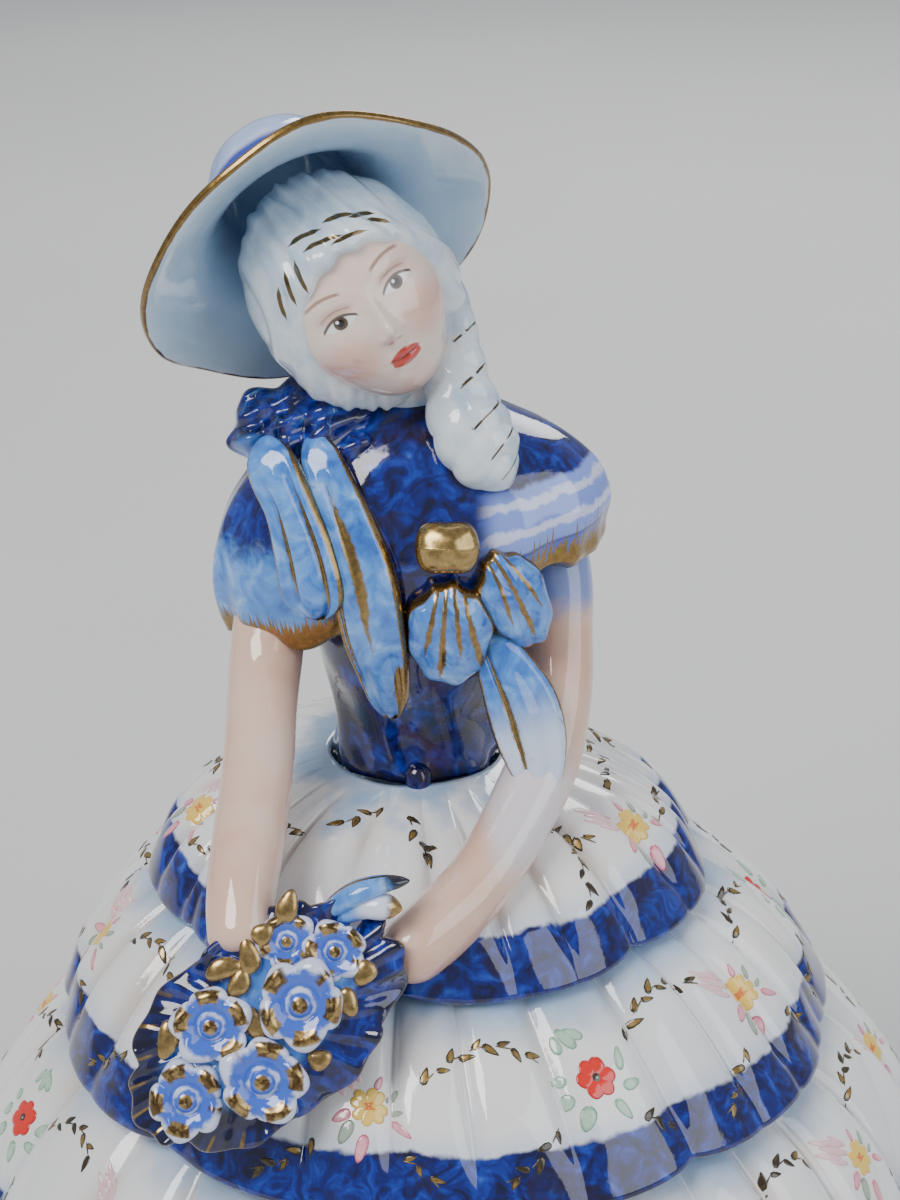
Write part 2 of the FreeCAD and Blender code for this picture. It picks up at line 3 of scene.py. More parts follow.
import bpy
import numpy as np
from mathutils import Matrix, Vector


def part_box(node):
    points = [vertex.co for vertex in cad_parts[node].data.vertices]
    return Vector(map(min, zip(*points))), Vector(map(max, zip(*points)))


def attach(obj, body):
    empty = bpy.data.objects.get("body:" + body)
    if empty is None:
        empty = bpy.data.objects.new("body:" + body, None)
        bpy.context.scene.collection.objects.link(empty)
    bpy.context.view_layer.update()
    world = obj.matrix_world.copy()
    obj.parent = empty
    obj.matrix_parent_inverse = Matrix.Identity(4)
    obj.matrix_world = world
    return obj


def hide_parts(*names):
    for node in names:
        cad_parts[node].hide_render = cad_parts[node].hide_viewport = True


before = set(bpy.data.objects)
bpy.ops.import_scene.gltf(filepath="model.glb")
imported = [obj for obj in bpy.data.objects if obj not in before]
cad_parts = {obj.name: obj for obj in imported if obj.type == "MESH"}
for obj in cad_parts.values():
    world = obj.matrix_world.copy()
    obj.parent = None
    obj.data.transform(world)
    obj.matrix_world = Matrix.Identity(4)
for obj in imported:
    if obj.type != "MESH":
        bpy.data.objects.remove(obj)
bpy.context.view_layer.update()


# ---- The skirt -----------------------------------------------------------------------------
# Four bell-shaped flounces of slip-cast porcelain, each from its own mould, pleated while the
# clay was soft and stuck one inside the next with slip. White glaze, with blue airbrushed at the
# top of each that is also painted shade under the hem above, beige and grey-blue painted shade
# in the folds, and a cobalt band brushed on by hand round every scalloped hem.

SKIRT = ["skirt_flounce_1", "skirt_flounce_2", "skirt_flounce_3", "skirt_flounce_4"]
SKIRT_WALL = 2.2
PLEATS = [24, 25, 27, 29]
PLEAT_DEPTH = [1.5, 1.9, 2.0, 2.1]
SCALLOPS = [7, 9, 10, 12]
SCALLOP_TURN = [-44.0, -53.0, 21.0, 0.0]
SCALLOP_DEPTH = 2.0
SCALLOP_RISE = [1.5, 1.7, 1.8, 0.0]
TURN_R = [35.0, 50.0, 67.0, 83.0]
TURN_Z = [104.0, 84.0, 58.0, 27.0]
NECK_R = [12.5, 31.4, 48.7, 65.2]
LEAN_FROM = 60.0
HEM_MAP = 100.0                            # a flounce's map climbs 1 in this many millimetres


def corners(node):
    """The lowest and highest corners of a CAD node, in millimetres."""
    low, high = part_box(node)
    return np.array(low) * 1000.0, np.array(high) * 1000.0


def spot(node, x, y, z):
    """A point in a CAD node's box, from 0 at its low corner to 1 at its high corner each way."""
    low, high = corners(node)
    return low + (high - low) * np.array([x, y, z])


TRUNK_X = spot("bodice", 0.5, 0.5, 0.5)[0]
WAIST_Z = corners(SKIRT[0])[1][2]


def eased(x, low, high):
    """0 below low, 1 above high, and a smooth S between them."""
    t = np.clip((x - low) / (high - low), 0.0, 1.0)
    return t * t * (3.0 - 2.0 * t)


def flounce_section(tier, u):
    """Radius, height and outward normal of a flounce's plain section.

    A quadratic curve: from the neck, towards the turn point, to the hem, as u goes 0 to 1."""
    low, high = corners(SKIRT[tier])
    hem_r = (high[0] - low[0]) / 2 - 1.3
    neck_z = WAIST_Z if tier == 0 else corners(SKIRT[tier - 1])[0][2] + 1.7
    a, b, c = (1 - u) ** 2, 2 * u * (1 - u), u * u
    r = a * NECK_R[tier] + b * TURN_R[tier] + c * hem_r
    z = a * neck_z + b * TURN_Z[tier] + c * low[2]
    dr = 2 * (1 - u) * (TURN_R[tier] - NECK_R[tier]) + 2 * u * (hem_r - TURN_R[tier])
    dz = 2 * (1 - u) * (TURN_Z[tier] - neck_z) + 2 * u * (low[2] - TURN_Z[tier])
    length = np.hypot(dr, dz)
    return r, z, -dz / length, dr / length


def pleat_fold(tier, angle):
    """0 on the crest of a pleat and 1 in the fold between two, round the skirt.

    The pleat count times the angle, hurried and slowed by two slow sines, then its saw wave."""
    phase = PLEATS[tier] * angle / (2 * np.pi)
    phase = phase + 0.30 * np.sin(2 * angle + 1.3 * tier) + 0.22 * np.sin(5 * angle + 2.1 * tier)
    saw = np.abs(phase - np.floor(phase) - 0.5) * 2
    return saw ** 4


def flounce_point(tier, angle, u, sink=0.0):
    """Points of a flounce's glazed outside, or sink millimetres under it.

    The plain section pushed out along its normal by pleats, scallops and a slow hand-made
    wander, and the hem lifted a little at each scallop's notch."""
    r, z, nr, nz = flounce_section(tier, u)
    fold = pleat_fold(tier, angle)
    gathered = eased(u, 0.0, 0.30) * (1.0 - 0.72 * eased(u, 0.74, 0.93))
    out = PLEAT_DEPTH[tier] * gathered * (0.35 - fold)
    turn = math.radians(SCALLOP_TURN[tier])
    notch = np.abs(np.sin(SCALLOPS[tier] * (angle - turn) / 2))
    out = out + SCALLOP_DEPTH * u ** 3 * (notch ** 0.55 - 0.72)
    out = out + 0.28 * u * np.sin(9 * angle + 4 * u + tier) + 0.18 * np.sin(4 * angle - 7 * u)
    out = out - sink
    r = r + nr * out
    rise = SCALLOP_RISE[tier] * (1 - notch) ** 2 * u ** 6
    height = z + nz * out + rise
    lean = TRUNK_X * np.maximum(0.0, (z - LEAN_FROM) / (WAIST_Z - LEAN_FROM))
    return np.stack([r * np.cos(angle) + lean, r * np.sin(angle), height], axis=-1)


def skin(name, grid, rows_v, ring=False, folds=None, local=None):
    """A closed mesh from a grid of points in millimetres: columns run round and close.

    ring joins the last row to the first; otherwise each end row shrinks to a pole at its mean.
    The UV map holds the share of the way round and rows_v. folds is kept as the attribute
    fold, one number a point, and local as a vector attribute."""
    rows, columns = grid.shape[:2]
    points = grid.reshape(-1, 3)
    i, j = np.meshgrid(np.arange(rows if ring else rows - 1), np.arange(columns), indexing="ij")
    i, j = i.ravel(), j.ravel()
    down, right = (i + 1) % rows, (j + 1) % columns
    quads = np.stack([i * columns + j, i * columns + right, down * columns + right,
                      down * columns + j], axis=1)
    turns = np.stack([j, j + 1, j + 1, j], axis=1) / columns
    climbs = np.stack([rows_v[i], rows_v[i], rows_v[down], rows_v[down]], axis=1)
    faces = quads.tolist()
    uvs = np.stack([turns.ravel(), climbs.ravel()], axis=1)
    if not ring:
        poles = np.stack([grid[0].mean(axis=0), grid[-1].mean(axis=0)])
        points = np.concatenate([points, poles])
        k = np.arange(columns)
        k_next = (k + 1) % columns
        count = rows * columns
        start = np.stack([np.full(columns, count), k_next, k], axis=1)
        base = (rows - 1) * columns
        finish = np.stack([np.full(columns, count + 1), base + k, base + k_next], axis=1)
        faces += start.tolist() + finish.tolist()
        for value, flip in ((rows_v[0], True), (rows_v[-1], False)):
            ends = (k + 1, k) if flip else (k, k + 1)
            cap = np.stack([k + 0.5, ends[0], ends[1]], axis=1).ravel() / columns
            uvs = np.concatenate([uvs, np.stack([cap, np.full(3 * columns, value)], axis=1)])
    a, b, c, d = (points[quads[:, n]] for n in range(4))
    volume = np.einsum("ij,ij->i", a, np.cross(b, c)) + np.einsum("ij,ij->i", a, np.cross(c, d))
    mesh = bpy.data.meshes.new(name)
    mesh.from_pydata((points * 0.001).tolist(), [], faces)
    layer = mesh.uv_layers.new(name="UVMap")
    layer.data.foreach_set("uv", uvs.astype(np.float32).ravel())
    if folds is not None:
        store = mesh.attributes.new("fold", "FLOAT", "POINT")
        values = np.zeros(len(points), dtype=np.float32)
        values[:folds.size] = folds.ravel()
        store.data.foreach_set("value", values)
    if local is not None:
        store = mesh.attributes.new("local", "FLOAT_VECTOR", "POINT")
        values = np.zeros((len(points), 3), dtype=np.float32)
        values[:local.size // 3] = local.reshape(-1, 3)
        if len(points) > local.size // 3:
            values[-2:] = np.stack([local[0].mean(axis=0), local[-1].mean(axis=0)])
        store.data.foreach_set("vector", values.ravel())
    if volume.sum() < 0:
        mesh.flip_normals()
    mesh.polygons.foreach_set("use_smooth", np.ones(len(mesh.polygons), dtype=bool))
    mesh.update()
    piece = bpy.data.objects.new(name, mesh)
    bpy.context.scene.collection.objects.link(piece)
    return piece


def flounce_mesh(tier):
    """One flounce as a closed ring: outside, rounded hem, inside and hidden neck in one loop."""
    angle = np.linspace(0, 2 * np.pi, 540, endpoint=False)[None, :]
    u = np.linspace(0.0, 1.0, 64)[:, None]
    outside = flounce_point(tier, angle, u)
    r, z, _, _ = flounce_section(tier, u[:, 0])
    steps = np.hypot(np.diff(r), np.diff(z))
    from_hem = np.concatenate([[0.0], np.cumsum(steps)])
    from_hem = from_hem[-1] - from_hem
    bend = np.linspace(0, np.pi, 9)[1:-1][:, None]
    half = SKIRT_WALL / 2
    edge = flounce_point(tier, angle, np.ones((7, 1)), half * (1 - np.cos(bend)))
    edge[..., 2] -= 0.55 * half * np.sin(bend) * (tier < 3)
    back = np.linspace(1.0, 0.0, 24)[:, None]
    inside = flounce_point(tier, angle, back, SKIRT_WALL)
    grid = np.concatenate([outside, edge, inside])
    if tier == 3:
        grid[..., 2] = np.maximum(grid[..., 2], corners(SKIRT[3])[0][2])
    rows_v = np.concatenate([from_hem, np.linspace(-0.2, -3.0, 7), np.full(24, -20.0)]) / HEM_MAP
    folds = np.concatenate([
        pleat_fold(tier, angle) * eased(u, 0.0, 0.25) * (1 - 0.5 * eased(u, 0.7, 1.0)),
        np.zeros((31, angle.size)),
    ])
    return skin("painted_" + SKIRT[tier], grid, rows_v, ring=True, folds=folds)


class Wire:
    """One output of a shader; arithmetic on wires and numbers adds Math nodes."""

    def __init__(self, kiln, socket):
        self.kiln = kiln
        self.socket = socket

    def sum_with(self, operation, other, swapped=False):
        pair = [other, self] if swapped else [self, other]
        return self.kiln.node("ShaderNodeMath", {"operation": operation}, pair)

    def __add__(self, other):
        return self.sum_with("ADD", other)

    def __sub__(self, other):
        return self.sum_with("SUBTRACT", other)

    def __rsub__(self, other):
        return self.sum_with("SUBTRACT", other, swapped=True)

    def __mul__(self, other):
        return self.sum_with("MULTIPLY", other)

    def __truediv__(self, other):
        return self.sum_with("DIVIDE", other)

    def __pow__(self, other):
        return self.sum_with("POWER", other)

    def __abs__(self):
        return self.sum_with("ABSOLUTE", 0.0)

    def most(self, other):
        return self.sum_with("MAXIMUM", other)

    def sine(self):
        return self.sum_with("SINE", 0.0)

    __radd__ = __add__
    __rmul__ = __mul__


class Kiln:
    """A material being made: its nodes, and the glaze they feed."""

    def __init__(self, name):
        self.material = bpy.data.materials.new(name)
        self.material.use_nodes = True
        self.tree = self.material.node_tree
        self.shader = self.tree.nodes["Principled BSDF"]

    def node(self, kind, settings=None, values=(), out=0):
        """Adds a node: settings first, then its inputs by place or by name; gives one output."""
        made = self.tree.nodes.new(kind)
        for key, value in (settings or {}).items():
            if key == "stops":
                ramp = made.color_ramp
                while len(ramp.elements) < len(value):
                    ramp.elements.new(0.5)
                for element, (place, colour) in zip(ramp.elements, value):
                    element.position = place
                    element.color = (*colour, 1.0)
            else:
                setattr(made, key, value)
        pairs = values.items() if isinstance(values, dict) else enumerate(values)
        for key, value in pairs:
            if value is not None:
                self.plug(made.inputs[key], value)
        return Wire(self, made.outputs[out])

    def plug(self, socket, value):
        """Links a wire to a socket, or sets the socket to a plain value."""
        if isinstance(value, Wire):
            self.tree.links.new(value.socket, socket)
        elif isinstance(value, tuple) and len(value) == 3 and socket.type == "RGBA":
            socket.default_value = (*value, 1.0)
        else:
            socket.default_value = value

    def place(self):
        """Where a point is on the object, in millimetres."""
        here = self.node("ShaderNodeTexCoord", out="Object")
        scaled = {"operation": "SCALE"}
        return self.node("ShaderNodeVectorMath", scaled, {"Vector": here, "Scale": 1000.0})

    def axes(self, vector):
        """The three parts of a vector, as three wires."""
        return [self.node("ShaderNodeSeparateXYZ", values=[vector], out=n) for n in range(3)]

    def painted(self):
        """The piece's own map: the share of the way round, and the way along."""
        across, along, _ = self.axes(self.node("ShaderNodeUVMap", {"uv_map": "UVMap"}))
        return across, along

    def noise(self, scale, detail=3.0, warp=0.0):
        """Cloudy noise from 0 to 1, in features of about 1/scale millimetres."""
        values = {"Vector": self.place(), "Scale": scale, "Detail": detail, "Roughness": 0.55,
                  "Distortion": warp}
        return self.node("ShaderNodeTexNoise", None, values)

    def step(self, value, low, high):
        """0 below low and 1 above high, smooth between; low above high turns it over."""
        settings = {"interpolation_type": "SMOOTHSTEP"}
        if low > high:
            return 1.0 - self.step(value, high, low)
        return self.node("ShaderNodeMapRange", settings, [value, low, high, 0.0, 1.0])

    def ramp(self, value, *stops):
        """A colour picked by value from stops of (place, colour)."""
        return self.node("ShaderNodeValToRGB", {"stops": stops}, [value])

    def mix(self, share, first, second):
        """Between two colours, by share."""
        settings = {"data_type": "RGBA"}
        return self.node("ShaderNodeMix", settings, {0: share, 6: first, 7: second}, out=2)

    def dot(self, x, y, at, size, soft=0.15):
        """1 inside an ellipse centred at a point of two wires, fading at its rim."""
        across = (x - at[0]) * (1.0 / size[0])
        along = (y - at[1]) * (1.0 / size[1])
        return self.step(across * across + along * along, 1.0 + soft, 1.0 - soft)

    def cobalt(self):
        """Cobalt brushed on wet and unevenly: near black where it pooled, blue where thin."""
        cloud = self.noise(0.26, 5.0, 1.6)
        blue = self.ramp(cloud, (0.36, (0.002, 0.003, 0.040)), (0.50, (0.003, 0.009, 0.16)),
                         (0.62, (0.006, 0.036, 0.34)), (0.80, (0.03, 0.13, 0.58)))
        burnt = self.step(self.noise(0.13, 3.0, 0.8), 0.54, 0.68)
        return self.mix(burnt * 0.8, blue, (0.010, 0.005, 0.022))

    def sky(self):
        """Thin blue wash that lets the white body through in streaks."""
        cloud = self.noise(0.22, 4.0, 1.0)
        return self.ramp(cloud, (0.30, (0.02, 0.12, 0.50)), (0.50, (0.07, 0.26, 0.72)),
                         (0.64, (0.17, 0.40, 0.84)), (0.80, (0.50, 0.66, 0.93)))

    def glaze(self, colour, gold=None, rough=0.07, gold_colour=(0.62, 0.40, 0.12)):
        """Feeds the shader: glossy glaze over colour, and fired gold where gold is 1."""
        uneven = self.noise(0.35, 2.0)
        gloss = uneven * 0.05 + (rough - 0.02)
        if gold is not None:
            wear = self.noise(1.3, 4.0)
            lustre = self.mix(wear, (0.10, 0.055, 0.012), gold_colour)
            colour = self.mix(gold, colour, lustre)
            gloss = gloss + gold * (wear * 0.22 + 0.08)
            self.plug(self.shader.inputs["Metallic"], gold * 0.92)
        ripple = self.noise(0.55, 2.0)
        bump = self.node("ShaderNodeBump", None,
                         {"Strength": 0.35, "Distance": 0.00012, "Height": ripple})
        self.plug(self.shader.inputs["Base Color"], colour)
        self.plug(self.shader.inputs["Roughness"], gloss)
        self.plug(self.shader.inputs["Normal"], bump)
        self.shader.inputs["IOR"].default_value = 1.52
        self.shader.inputs["Coat Weight"].default_value = 0.6
        self.shader.inputs["Coat Roughness"].default_value = 0.03
        return self.material


def fit(piece, material, slot, *nodes):
    """Gives a finished piece its material, hangs it on the root body and hides the CAD nodes it stands
    for.
    """
    piece.data.materials.append(material)
    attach(piece, "root")
    if nodes:
        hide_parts(*nodes)


def skirt_glaze(tier):
    """White glaze; blue airbrushed under the hem above, also painted shade; beige and grey-blue
    painted shade in the folds; cobalt on the hem.
    """
    kiln = Kiln("skirt_paint_%d" % (tier + 1))
    _, along = kiln.painted()
    _, _, z = kiln.axes(kiln.place())
    from_hem = along * HEM_MAP
    body = kiln.ramp(kiln.noise(0.05, 2.0), (0.35, (0.80, 0.81, 0.83)), (0.65, (0.87, 0.86, 0.84)))
    fold = kiln.node("ShaderNodeAttribute", {"attribute_name": "fold"}, out="Fac")
    # Painted shade in the folds between the pleats: beige in patches, then a grey-blue darkening.
    beige = fold * kiln.step(kiln.noise(0.035, 2.0), 0.46, 0.62)
    colour = kiln.mix(beige * 0.75, body, (0.56, 0.43, 0.30))
    colour = kiln.mix(fold * 0.22, colour, (0.46, 0.50, 0.60))
    # Blue airbrushed at the top of each flounce, also painted shade under the hem of the flounce
    # above; the top flounce's lies under the bodice.
    ceiling = WAIST_Z if tier == 0 else corners(SKIRT[tier - 1])[0][2]
    depth = 1.5 if tier == 0 else 6.0
    sprayed_blue_and_shade = kiln.step(z + kiln.noise(0.07, 3.0) * 9.0, ceiling - depth + 4.0, ceiling + 4.5)
    colour = kiln.mix(sprayed_blue_and_shade * 0.85, colour, (0.24, 0.42, 0.66))
    wander = kiln.noise(0.09, 2.0) * 4.0 + kiln.noise(0.5, 2.0) * 1.2
    halo = kiln.step(from_hem - wander, 9.5, 6.0)
    colour = kiln.mix(halo * 0.35, colour, (0.36, 0.52, 0.80))
    band = kiln.step(from_hem - wander, 6.1, 5.3) * kiln.step(from_hem, -3.2, -2.2)
    colour = kiln.mix(band, colour, kiln.cobalt())
    return kiln.glaze(colour)


for tier in range(4):
    fit(flounce_mesh(tier), skirt_glaze(tier), "skirt_porcelain", SKIRT[tier])


# ---- The painted sprigs --------------------------------------------------------------------
# Flowers and leaves put on the fired glaze with a soft brush, each petal one dab of enamel
# that stands a hair above the surface, and chains of dark gold leaves that link them. Fired on
# again at low heat. The same two nosegays are repeated round every flounce.

DAB = np.array([(0.55, -0.30), (0.96, -0.12), (1.0, 0.02), (0.82, 0.07), (0.45, 0.09)])
NOSEGAYS = [4, 10, 13, 15]
FIRST_AT = [-21.0, -28.0, -26.0, -14.0]
SPACING = [71.0, 36.0, 360 / 13, 24.0]
FLOWER_UP = [14.0, 15.0, 19.0, 24.0]


def along_flounce(tier):
    """Distances from the hem, and the u that each belongs to, for looking one up."""
    u = np.linspace(0.0, 1.0, 300)
    r, z, _, _ = flounce_section(tier, u)
    run = np.concatenate([[0.0], np.cumsum(np.hypot(np.diff(r), np.diff(z)))])
    return (run[-1] - run)[::-1], u[::-1]


def dabs(name, marks, columns=12):
    """Dabs of enamel as one mesh of closed lenses that follow the flounces.

    Each mark is flounce, degrees round, distance up from the hem, heading in degrees, length,
    width and taper. An outline point is an ellipse's, narrowed towards its heading by taper."""
    marks = np.array(marks, dtype=float)
    turn = np.linspace(0, 2 * np.pi, columns, endpoint=False)[None, None, :]
    size, lift = DAB[:, 0][None, :, None], DAB[:, 1][None, :, None]
    angle, up, heading, length, width, taper = (
        marks[:, n][:, None, None] for n in range(1, 7))
    reach = size * np.cos(turn)
    ahead = length / 2 * reach
    side = width / 2 * size * np.sin(turn) * (1 - taper * reach)
    heading = np.radians(heading)
    around = ahead * np.cos(heading) - side * np.sin(heading)
    climb = up + ahead * np.sin(heading) + side * np.cos(heading)
    points = np.zeros(around.shape + (3,))
    for tier in range(4):
        mine = marks[:, 0] == tier
        heights, us = along_flounce(tier)
        u = np.interp(climb[mine], heights, us)
        r = flounce_section(tier, u)[0]
        where = np.radians(angle[mine]) + around[mine] / r
        points[mine] = flounce_point(tier, where, u, -lift)
    count, rows = points.shape[:2]
    poles = points[:, [0, -1]].mean(axis=2)
    each = rows * columns + 2
    verts = np.concatenate([points.reshape(count, -1, 3), poles], axis=1).reshape(-1, 3)
    i, j = np.meshgrid(np.arange(rows - 1), np.arange(columns), indexing="ij")
    i, j = i.ravel(), j.ravel()
    k = (j + 1) % columns
    quads = np.stack([i * columns + j, i * columns + k, (i + 1) * columns + k,
                      (i + 1) * columns + j], axis=1)
    j = np.arange(columns)
    k = (j + 1) % columns
    last = (rows - 1) * columns
    caps = np.concatenate([
        np.stack([k, j, np.full(columns, rows * columns)], axis=1),
        np.stack([last + j, last + k, np.full(columns, rows * columns + 1)], axis=1)])
    starts = (np.arange(count) * each)[:, None, None]
    faces = (quads[None] + starts).reshape(-1, 4).tolist()
    faces += (caps[None] + starts).reshape(-1, 3).tolist()
    flat = np.stack([0.5 + 0.5 * reach + 0 * size, 0.5 + 0.5 * size * np.sin(turn)], axis=-1)
    flat = np.broadcast_to(flat, (1, rows, columns, 2)).reshape(-1, 2)
    flat = np.concatenate([flat, [[0.5, 0.5], [0.5, 0.5]]])
    spots = np.concatenate([flat[quads.ravel()][None].repeat(count, 0).reshape(-1, 2),
                            flat[caps.ravel()][None].repeat(count, 0).reshape(-1, 2)])
    mesh = bpy.data.meshes.new(name)
    mesh.from_pydata((verts * 0.001).tolist(), [], faces)
    mesh.uv_layers.new(name="UVMap").data.foreach_set("uv", spots.astype(np.float32).ravel())
    a, b, c = (verts[caps[:columns, n]] for n in range(3))
    facing = np.cross(b - a, c - a).sum(axis=0) @ (poles[0, 0] - poles[0, 1])
    if facing < 0:
        mesh.flip_normals()
    mesh.polygons.foreach_set("use_smooth", np.ones(len(mesh.polygons), dtype=bool))
    piece = bpy.data.objects.new(name, mesh)
    bpy.context.scene.collection.objects.link(piece)
    return piece


def chain(tier, start, end, sag, spacing=2.1, size=1.0):
    """A stem of leaves between two (degrees, height) points, bowed up by sag millimetres."""
    heights, us = along_flounce(tier)
    middle = (start[1] + end[1]) / 2
    radius = flounce_section(tier, np.interp(middle, heights, us))[0]
    length = np.hypot(np.radians(end[0] - start[0]) * radius, end[1] - start[1]) + abs(sag)
    count = max(2, int(length / spacing))
    t = (np.arange(count) + 0.5) / count
    angle = start[0] + (end[0] - start[0]) * t
    up = start[1] + (end[1] - start[1]) * t + 4 * sag * t * (1 - t)
    slope = (end[1] - start[1]) + 4 * sag * (1 - 2 * t)
    ahead = np.degrees(np.arctan2(slope, np.radians(end[0] - start[0]) * radius))
    swing = np.where(np.arange(count) % 2 == 0, 34.0, -34.0)
    heading = ahead + swing + 9 * np.sin(7.3 * t + tier + start[0])
    off = 0.55 * size
    angle = angle + np.degrees(-np.sin(np.radians(ahead)) * off * np.sign(swing) / radius)
    up = up + np.cos(np.radians(ahead)) * off * np.sign(swing)
    grown = size * (0.85 + 0.3 * np.sin(11.0 * t + start[0]) ** 2)
    leaves = np.stack([np.full(count, tier), angle, up, heading, 2.3 * grown, 0.95 * grown,
                       np.full(count, 0.55)], axis=1)
    stalk = leaves.copy()
    stalk[:, 1] = start[0] + (end[0] - start[0]) * t
    stalk[:, 2] = start[1] + (end[1] - start[1]) * t + 4 * sag * t * (1 - t)
    stalk[:, 3] = ahead
    stalk[:, 4:7] = (spacing * 1.15, 0.26, 0.0)
    return np.concatenate([leaves, stalk[::2]])


def spray(tier, angle, up, spokes):
    """Dabs round a point: spokes of (direction, distance, turn off it, length, width, taper)."""
    heights, us = along_flounce(tier)
    radius = flounce_section(tier, np.interp(up, heights, us))[0]
    way, away, turned, length, width, taper = np.array(spokes, dtype=float).T
    there = np.radians(way)
    return np.stack([
        np.full(len(way), tier), angle + np.degrees(np.cos(there) * away / radius),
        up + np.sin(there) * away, way + turned, length, width, taper], axis=1)


def ring_of(count, away, length, width, taper, first=0.0, wobble=12.0):
    """Spokes evenly round, each a little astray as the brush leaves them."""
    n = np.arange(count)
    stray = wobble * np.sin(2.7 * n + first)
    return [(first + 360 * k / count + s * 0.4, away, s, length * (1 + s * 0.006), width, taper)
            for k, s in zip(n, stray)]


yellow, pink, blush, green, grey_green, red, amber, dark, gold_leaves = ([] for _ in range(9))
for tier in range(4):
    for k in range(NOSEGAYS[tier]):
        at = FIRST_AT[tier] + SPACING[tier] * k
        up = FLOWER_UP[tier] + 0.8 * math.sin(2.1 * k + tier)
        half = SPACING[tier] / 2
        if tier == 1 and k % 2 == 1 or tier > 1 and k % 3 == 2:
            red.append(spray(tier, at, up, ring_of(6, 1.55, 2.7, 2.5, 0.1, 20.0 * k)))
            dark.append(spray(tier, at, up, [(60, 0.1, 0, 1.7, 1.4, 0.0)]))
            grey_green.append(spray(tier, at, up, [(0, 0.1, 0, 0.8, 0.7, 0.0)]))
            green.append(spray(tier, at, up, [
                (172, 5.0, 0, 2.0, 1.6, 0.2), (205, 5.3, 30, 2.4, 1.9, 0.2),
                (238, 5.7, 0, 3.6, 2.1, 0.3), (292, 5.2, 0, 3.3, 1.5, 0.3),
                (335, 4.9, 30, 2.7, 1.6, 0.2), (20, 4.6, 50, 3.4, 1.3, 0.3),
                (96, 6.4, 50, 2.9, 1.5, 0.2), (108, 6.3, 10, 3.6, 1.7, 0.2),
                (124, 6.6, -30, 2.7, 1.4, 0.2)]))
        else:
            yellow.append(spray(tier, at, up, ring_of(8, 1.45, 2.4, 1.5, -0.2, 33.0 * k)))
            amber.append(spray(tier, at, up, ring_of(4, 0.55, 1.3, 0.5, 0.3, 50.0, 25.0)))
            blush.append(spray(tier, at, up, [
                (118, 5.0, 6, 3.6, 0.9, 0.3), (128, 6.2, 12, 5.0, 1.0, 0.3),
                (137, 5.6, 0, 5.6, 1.1, 0.3), (146, 6.6, -8, 4.6, 1.0, 0.3),
                (155, 5.0, -14, 3.4, 0.9, 0.3), (133, 8.4, 0, 3.2, 0.8, 0.3)]))
            pink.append(spray(tier, at, up, [
                (205, 3.9, 8, 2.9, 1.5, 0.3), (262, 5.6, -8, 4.0, 1.6, 0.25),
                (326, 5.0, -4, 3.6, 1.1, 0.35), (70, 3.4, 0, 2.0, 0.9, 0.3)]))
            grey_green.append(spray(tier, at, up, [
                (232, 4.6, 12, 3.6, 1.7, 0.2), (28, 3.4, 20, 2.3, 1.0, 0.2),
                (350, 3.6, 20, 1.9, 0.8, 0.2)]))
        if tier == 0:
            chains = [((at + 40, up + 8), (at + 9, up + 6), -1.0),
                      ((at - 20, up + 4.0), (at - 30, up - 6.5), 1.0),
                      ((at + 9, up - 4), (at + 24, up - 3), 1.5),
                      ((at - 30, up + 8), (at - 16, up + 1.5), 1.5)]
        else:
            chains = [((at + half * 0.45, up + 3), (at + 2 * half - 8, up + 5), 4.0),
                      ((at - 8, up - 5), (at - half * 0.95, up - 11), -1.0),
                      ((at + 5, up - 7), (at + half * 0.55, up - 11), 1.0)]
        if tier == 3:
            chains.append(((at + half * 0.6, up - 3), (at + half, up - 12), 2.0))
        for start, end, sag in chains:
            gold_leaves.append(chain(tier, start, end, sag))
gold_leaves.append(chain(0, (-105.0, 30.0), (-119.0, 23.0), 0.6, size=1.1))
gold_leaves.append(chain(0, (-93.0, 29.0), (-84.0, 20.5), -1.2, size=1.1))


def enamel(name, centre, edge, strength=0.5):
    """Enamel laid thin in the middle of a dab and gathered at its edge."""
    kiln = Kiln(name)
    x, y = kiln.painted()
    out = (x - 0.5) * (x - 0.5) + (y - 0.5) * (y - 0.5)
    streak = kiln.noise(1.6, 3.0, 1.0)
    rim = kiln.step(out + streak * 0.10, 0.12, 0.30)
    return kiln.glaze(kiln.mix(rim * strength + streak * 0.35, centre, edge))


def gold_enamel(name):
    """Gold dabs painted dark brown as a painted dark reflection, with metal gold on the crowns of some
    as a painted highlight.
    """
    kiln = Kiln(name)
    x, y = kiln.painted()
    out = (x - 0.5) * (x - 0.5) + (y - 0.5) * (y - 0.5)
    # Painted highlight: metal gold only on a dab's crown, where the noise lets it; the rest is dark
    # brown, a painted dark reflection.
    crown_highlight = kiln.step(out, 0.14, 0.02) * kiln.step(kiln.noise(0.12, 2.0), 0.42, 0.58)
    colour = kiln.mix(crown_highlight, (0.030, 0.020, 0.006), (0.50, 0.32, 0.09))
    return kiln.glaze(colour, crown_highlight * 0.9, 0.14)


